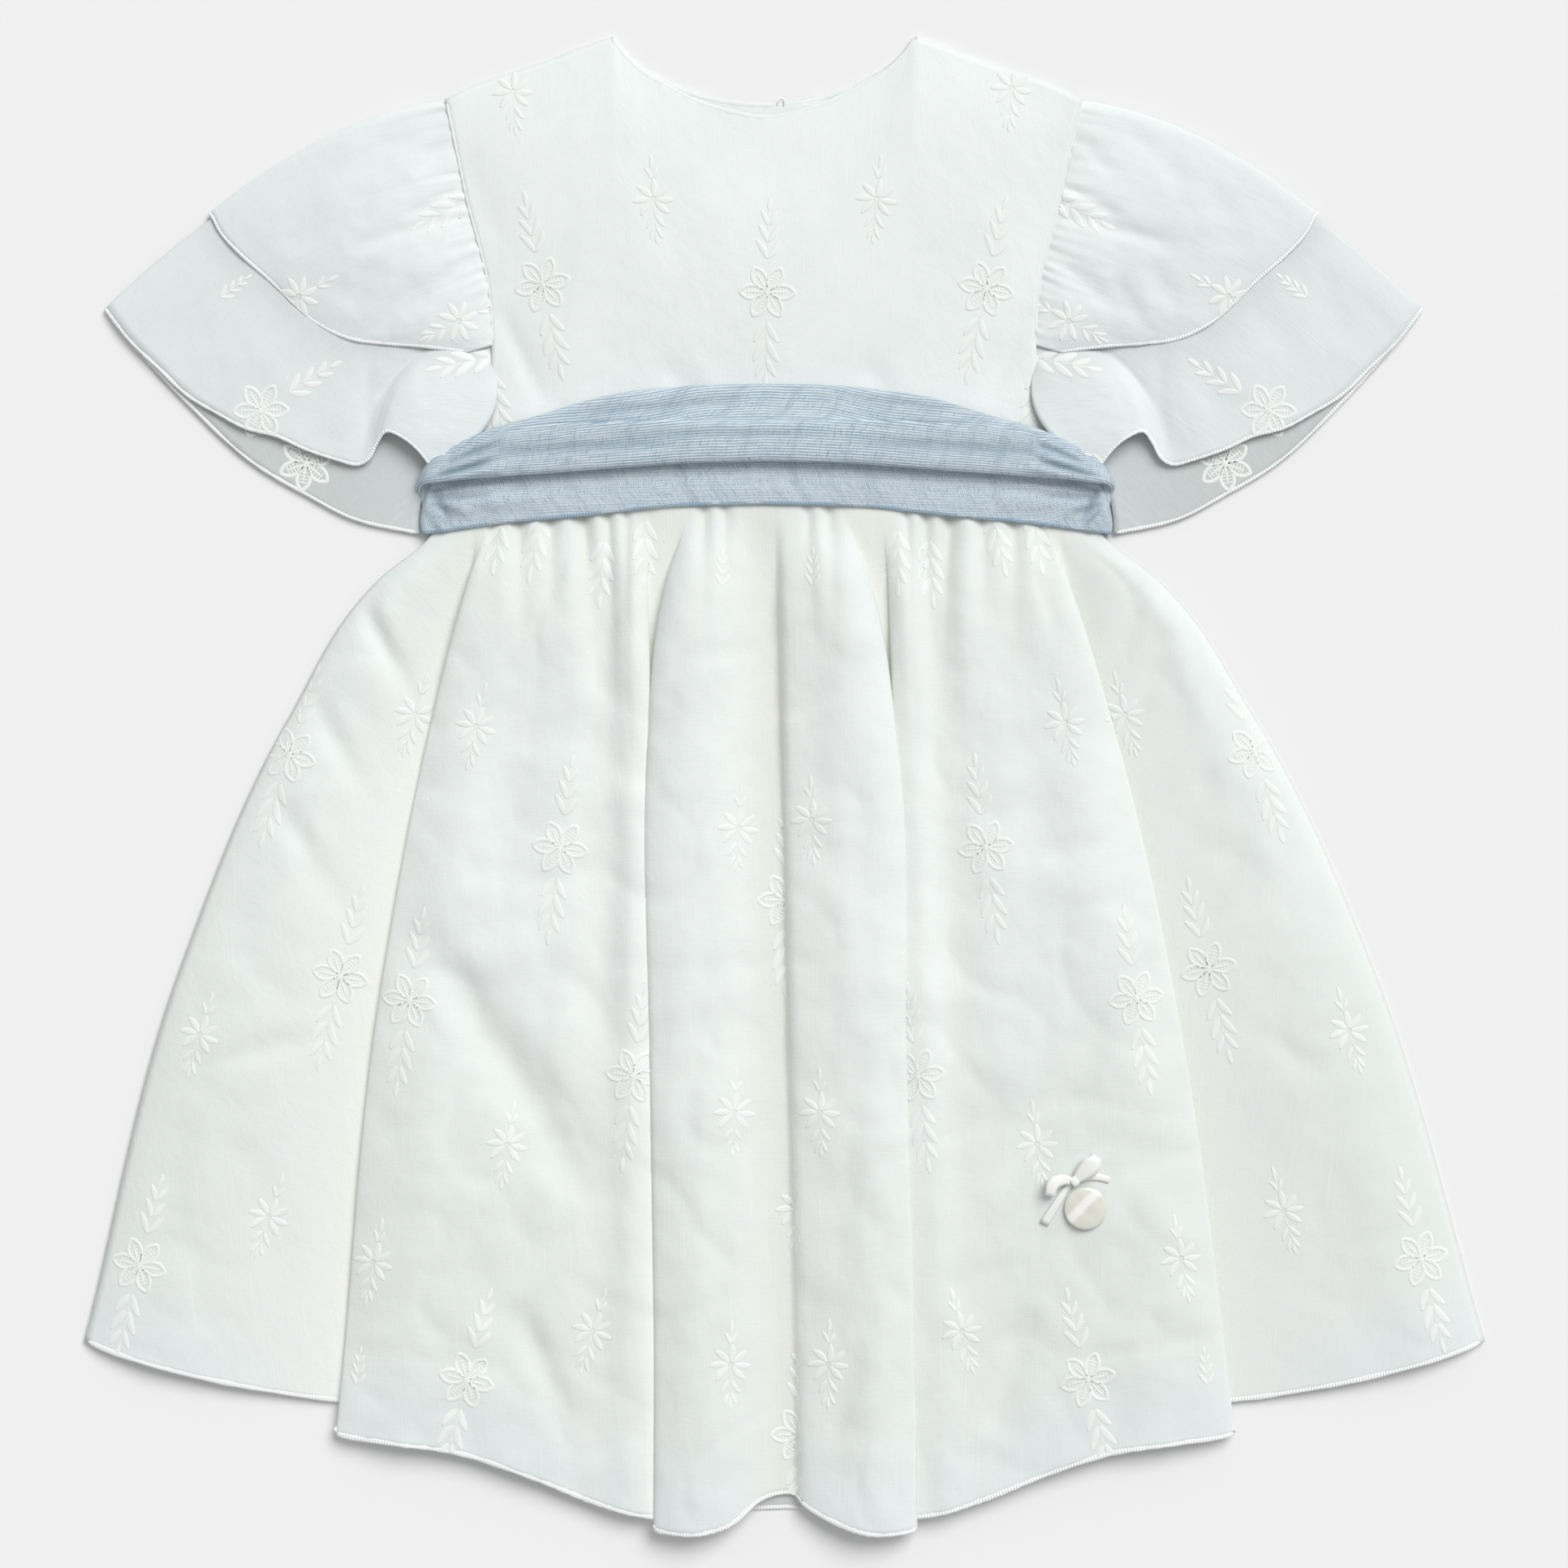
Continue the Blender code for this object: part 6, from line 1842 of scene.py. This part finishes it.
class DRESS_OT_charm(bpy.types.Operator):
    """Ribbon bow and plain shell disc on the skirt"""

    bl_idname = "dress.charm"
    bl_label = "Charm"

    def execute(self, context):
        tone = colours()
        ribbon = satin_ribbon("white satin ribbon", tuple(tone.ribbon))
        shell = nacre("pale nacre", tuple(tone.shell), tuple(tone.shell_shade))
        button = resin("white button resin", tuple(tone.button))
        surface = surface_of(skirt_front_parts()[0])
        knot = Vector((CHARM_X + KNOT_X, CHARM_Y + KNOT_Y))
        half_wall = 0.5 * sizes().cloth

        def cloth_height(x, y):
            return laid_on(surface, x, y) / MM + half_wall

        tails = []
        for arm in BOW_TAILS:
            line = ribbon_line(arm)
            heights = [cloth_height(knot.x + place.x, knot.y + place.y) + TAIL_LIFT for place in line]
            tails.append(ribbon_rows(line, knot, heights))
        ribbon_piece("bow_tails", tails, ribbon, ("charm_tails",))
        base = cloth_height(knot.x, knot.y) + BOW_LIFT
        loops = [bow_loop(arm, knot, base) for arm in BOW_ARMS] + [knot_rows(knot, base - KNOT_SUNK)]
        ribbon_piece("bow_loops", loops, ribbon, ("charm_loops",))
        spots = [(CHARM_X + x, CHARM_Y + y) for x in DISC_RESTS for y in DISC_RESTS]
        rest = max(cloth_height(*spot) for spot in spots) + DISC_LIFT
        turned_piece("shell_disc", DISC_PROFILE, Vector((CHARM_X, CHARM_Y, rest)), shell,
                     ("charm_disc",))
        turned_piece("back_button", BUTTON_PROFILE, Vector((centre_x(BUTTON_Y), BUTTON_Y, BUTTON_BASE)),
                     button, ("neck_button",))
        rise = back_rise(0.0, NECK_LOOP[0].y) + NECK_LOOP_LIFT
        line = through([Vector((spot.x, spot.y, rise)) for spot in NECK_LOOP], [4] * (len(NECK_LOOP) - 1))
        below = [point - Vector((0.0, 0.0, 1.0)) for point in line]
        rolled_edge("neck_thread_loop", line, below, THREAD_LOOP, thread_material())
        return {"FINISHED"}


# In metres: the floor's half size, and the height at which the page fills the picture.
FLOOR_HALF = 6.0
PAGE_HEIGHT = 0.008
LENS_LENGTH = 100.0
FILM_WIDTH = 36.0
SKY_STRENGTH = 0.46
KEY_ENERGY = 2.28
KEY_SOFTNESS = 38.0
KEY_PLACE = (0.75, 1.1, 1.5)


class DRESS_OT_stage(bpy.types.Operator):
    """Plain pale floor, soft studio light and the camera straight above"""

    bl_idname = "dress.stage"
    bl_label = "Stage"

    def execute(self, context):
        scene = context.scene
        scene.view_settings.view_transform = "Standard"
        mesh = bpy.data.meshes.new("floor")
        corners = ((-1, -1), (1, -1), (1, 1), (-1, 1))
        mesh.from_pydata([(FLOOR_HALF * x, FLOOR_HALF * y, 0.0) for x, y in corners], [], [(0, 1, 2, 3)])
        floor = bpy.data.objects.new("floor", mesh)
        scene.collection.objects.link(floor)
        mesh.materials.append(paper_floor("pale floor", tuple(colours().floor)))

        world = bpy.data.worlds.new("studio")
        scene.world = world
        world.use_nodes = True
        background = world.node_tree.nodes["Background"].inputs
        background["Color"].default_value = (1.0, 1.0, 1.0, 1.0)
        background["Strength"].default_value = SKY_STRENGTH

        lamp = bpy.data.lights.new("soft key light", "SUN")
        lamp.energy = KEY_ENERGY
        lamp.angle = math.radians(KEY_SOFTNESS)
        key = bpy.data.objects.new(lamp.name, lamp)
        key.location = KEY_PLACE
        key.rotation_euler = (-key.location).to_track_quat("-Z", "Y").to_euler()
        scene.collection.objects.link(key)

        lens = bpy.data.cameras.new("overhead camera")
        lens.lens = LENS_LENGTH
        lens.sensor_width = FILM_WIDTH
        page = PIXEL * PAGE * MM
        camera = bpy.data.objects.new(lens.name, lens)
        camera.location = (0.0, 0.0, page * LENS_LENGTH / FILM_WIDTH + PAGE_HEIGHT)
        scene.collection.objects.link(camera)
        scene.camera = camera
        return {"FINISHED"}


class DRESS_PT_sidebar(bpy.types.Panel):
    """Lists the dress's pieces in the sidebar"""

    bl_label = "Embroidered dress"
    bl_idname = "DRESS_PT_sidebar"
    bl_space_type = "VIEW_3D"
    bl_region_type = "UI"
    bl_category = "Dress"

    def draw(self, context):
        for piece in OPERATORS:
            self.layout.operator(piece.bl_idname)
        for group in (context.scene.dress_sizes, context.scene.dress_colours):
            for name in group.__annotations__:
                self.layout.prop(group, name)


OPERATORS = (DRESS_OT_stage, DRESS_OT_bodice, DRESS_OT_skirt, DRESS_OT_sleeves, DRESS_OT_sash,
             DRESS_OT_embroidery, DRESS_OT_charm)
CLASSES = (DressSizes, DressColours) + OPERATORS + (DRESS_PT_sidebar,)


def register():
    for kind in CLASSES:
        bpy.utils.register_class(kind)
    bpy.types.Scene.dress_sizes = bpy.props.PointerProperty(type=DressSizes)
    bpy.types.Scene.dress_colours = bpy.props.PointerProperty(type=DressColours)


def unregister():
    del bpy.types.Scene.dress_sizes
    del bpy.types.Scene.dress_colours
    for kind in reversed(CLASSES):
        bpy.utils.unregister_class(kind)


def main():
    register()
    bpy.ops.dress.stage()
    bpy.ops.dress.bodice()
    bpy.ops.dress.skirt()
    bpy.ops.dress.sleeves()
    bpy.ops.dress.sash()
    bpy.ops.dress.embroidery()
    bpy.ops.dress.charm()


if __name__ == "__main__":
    main()
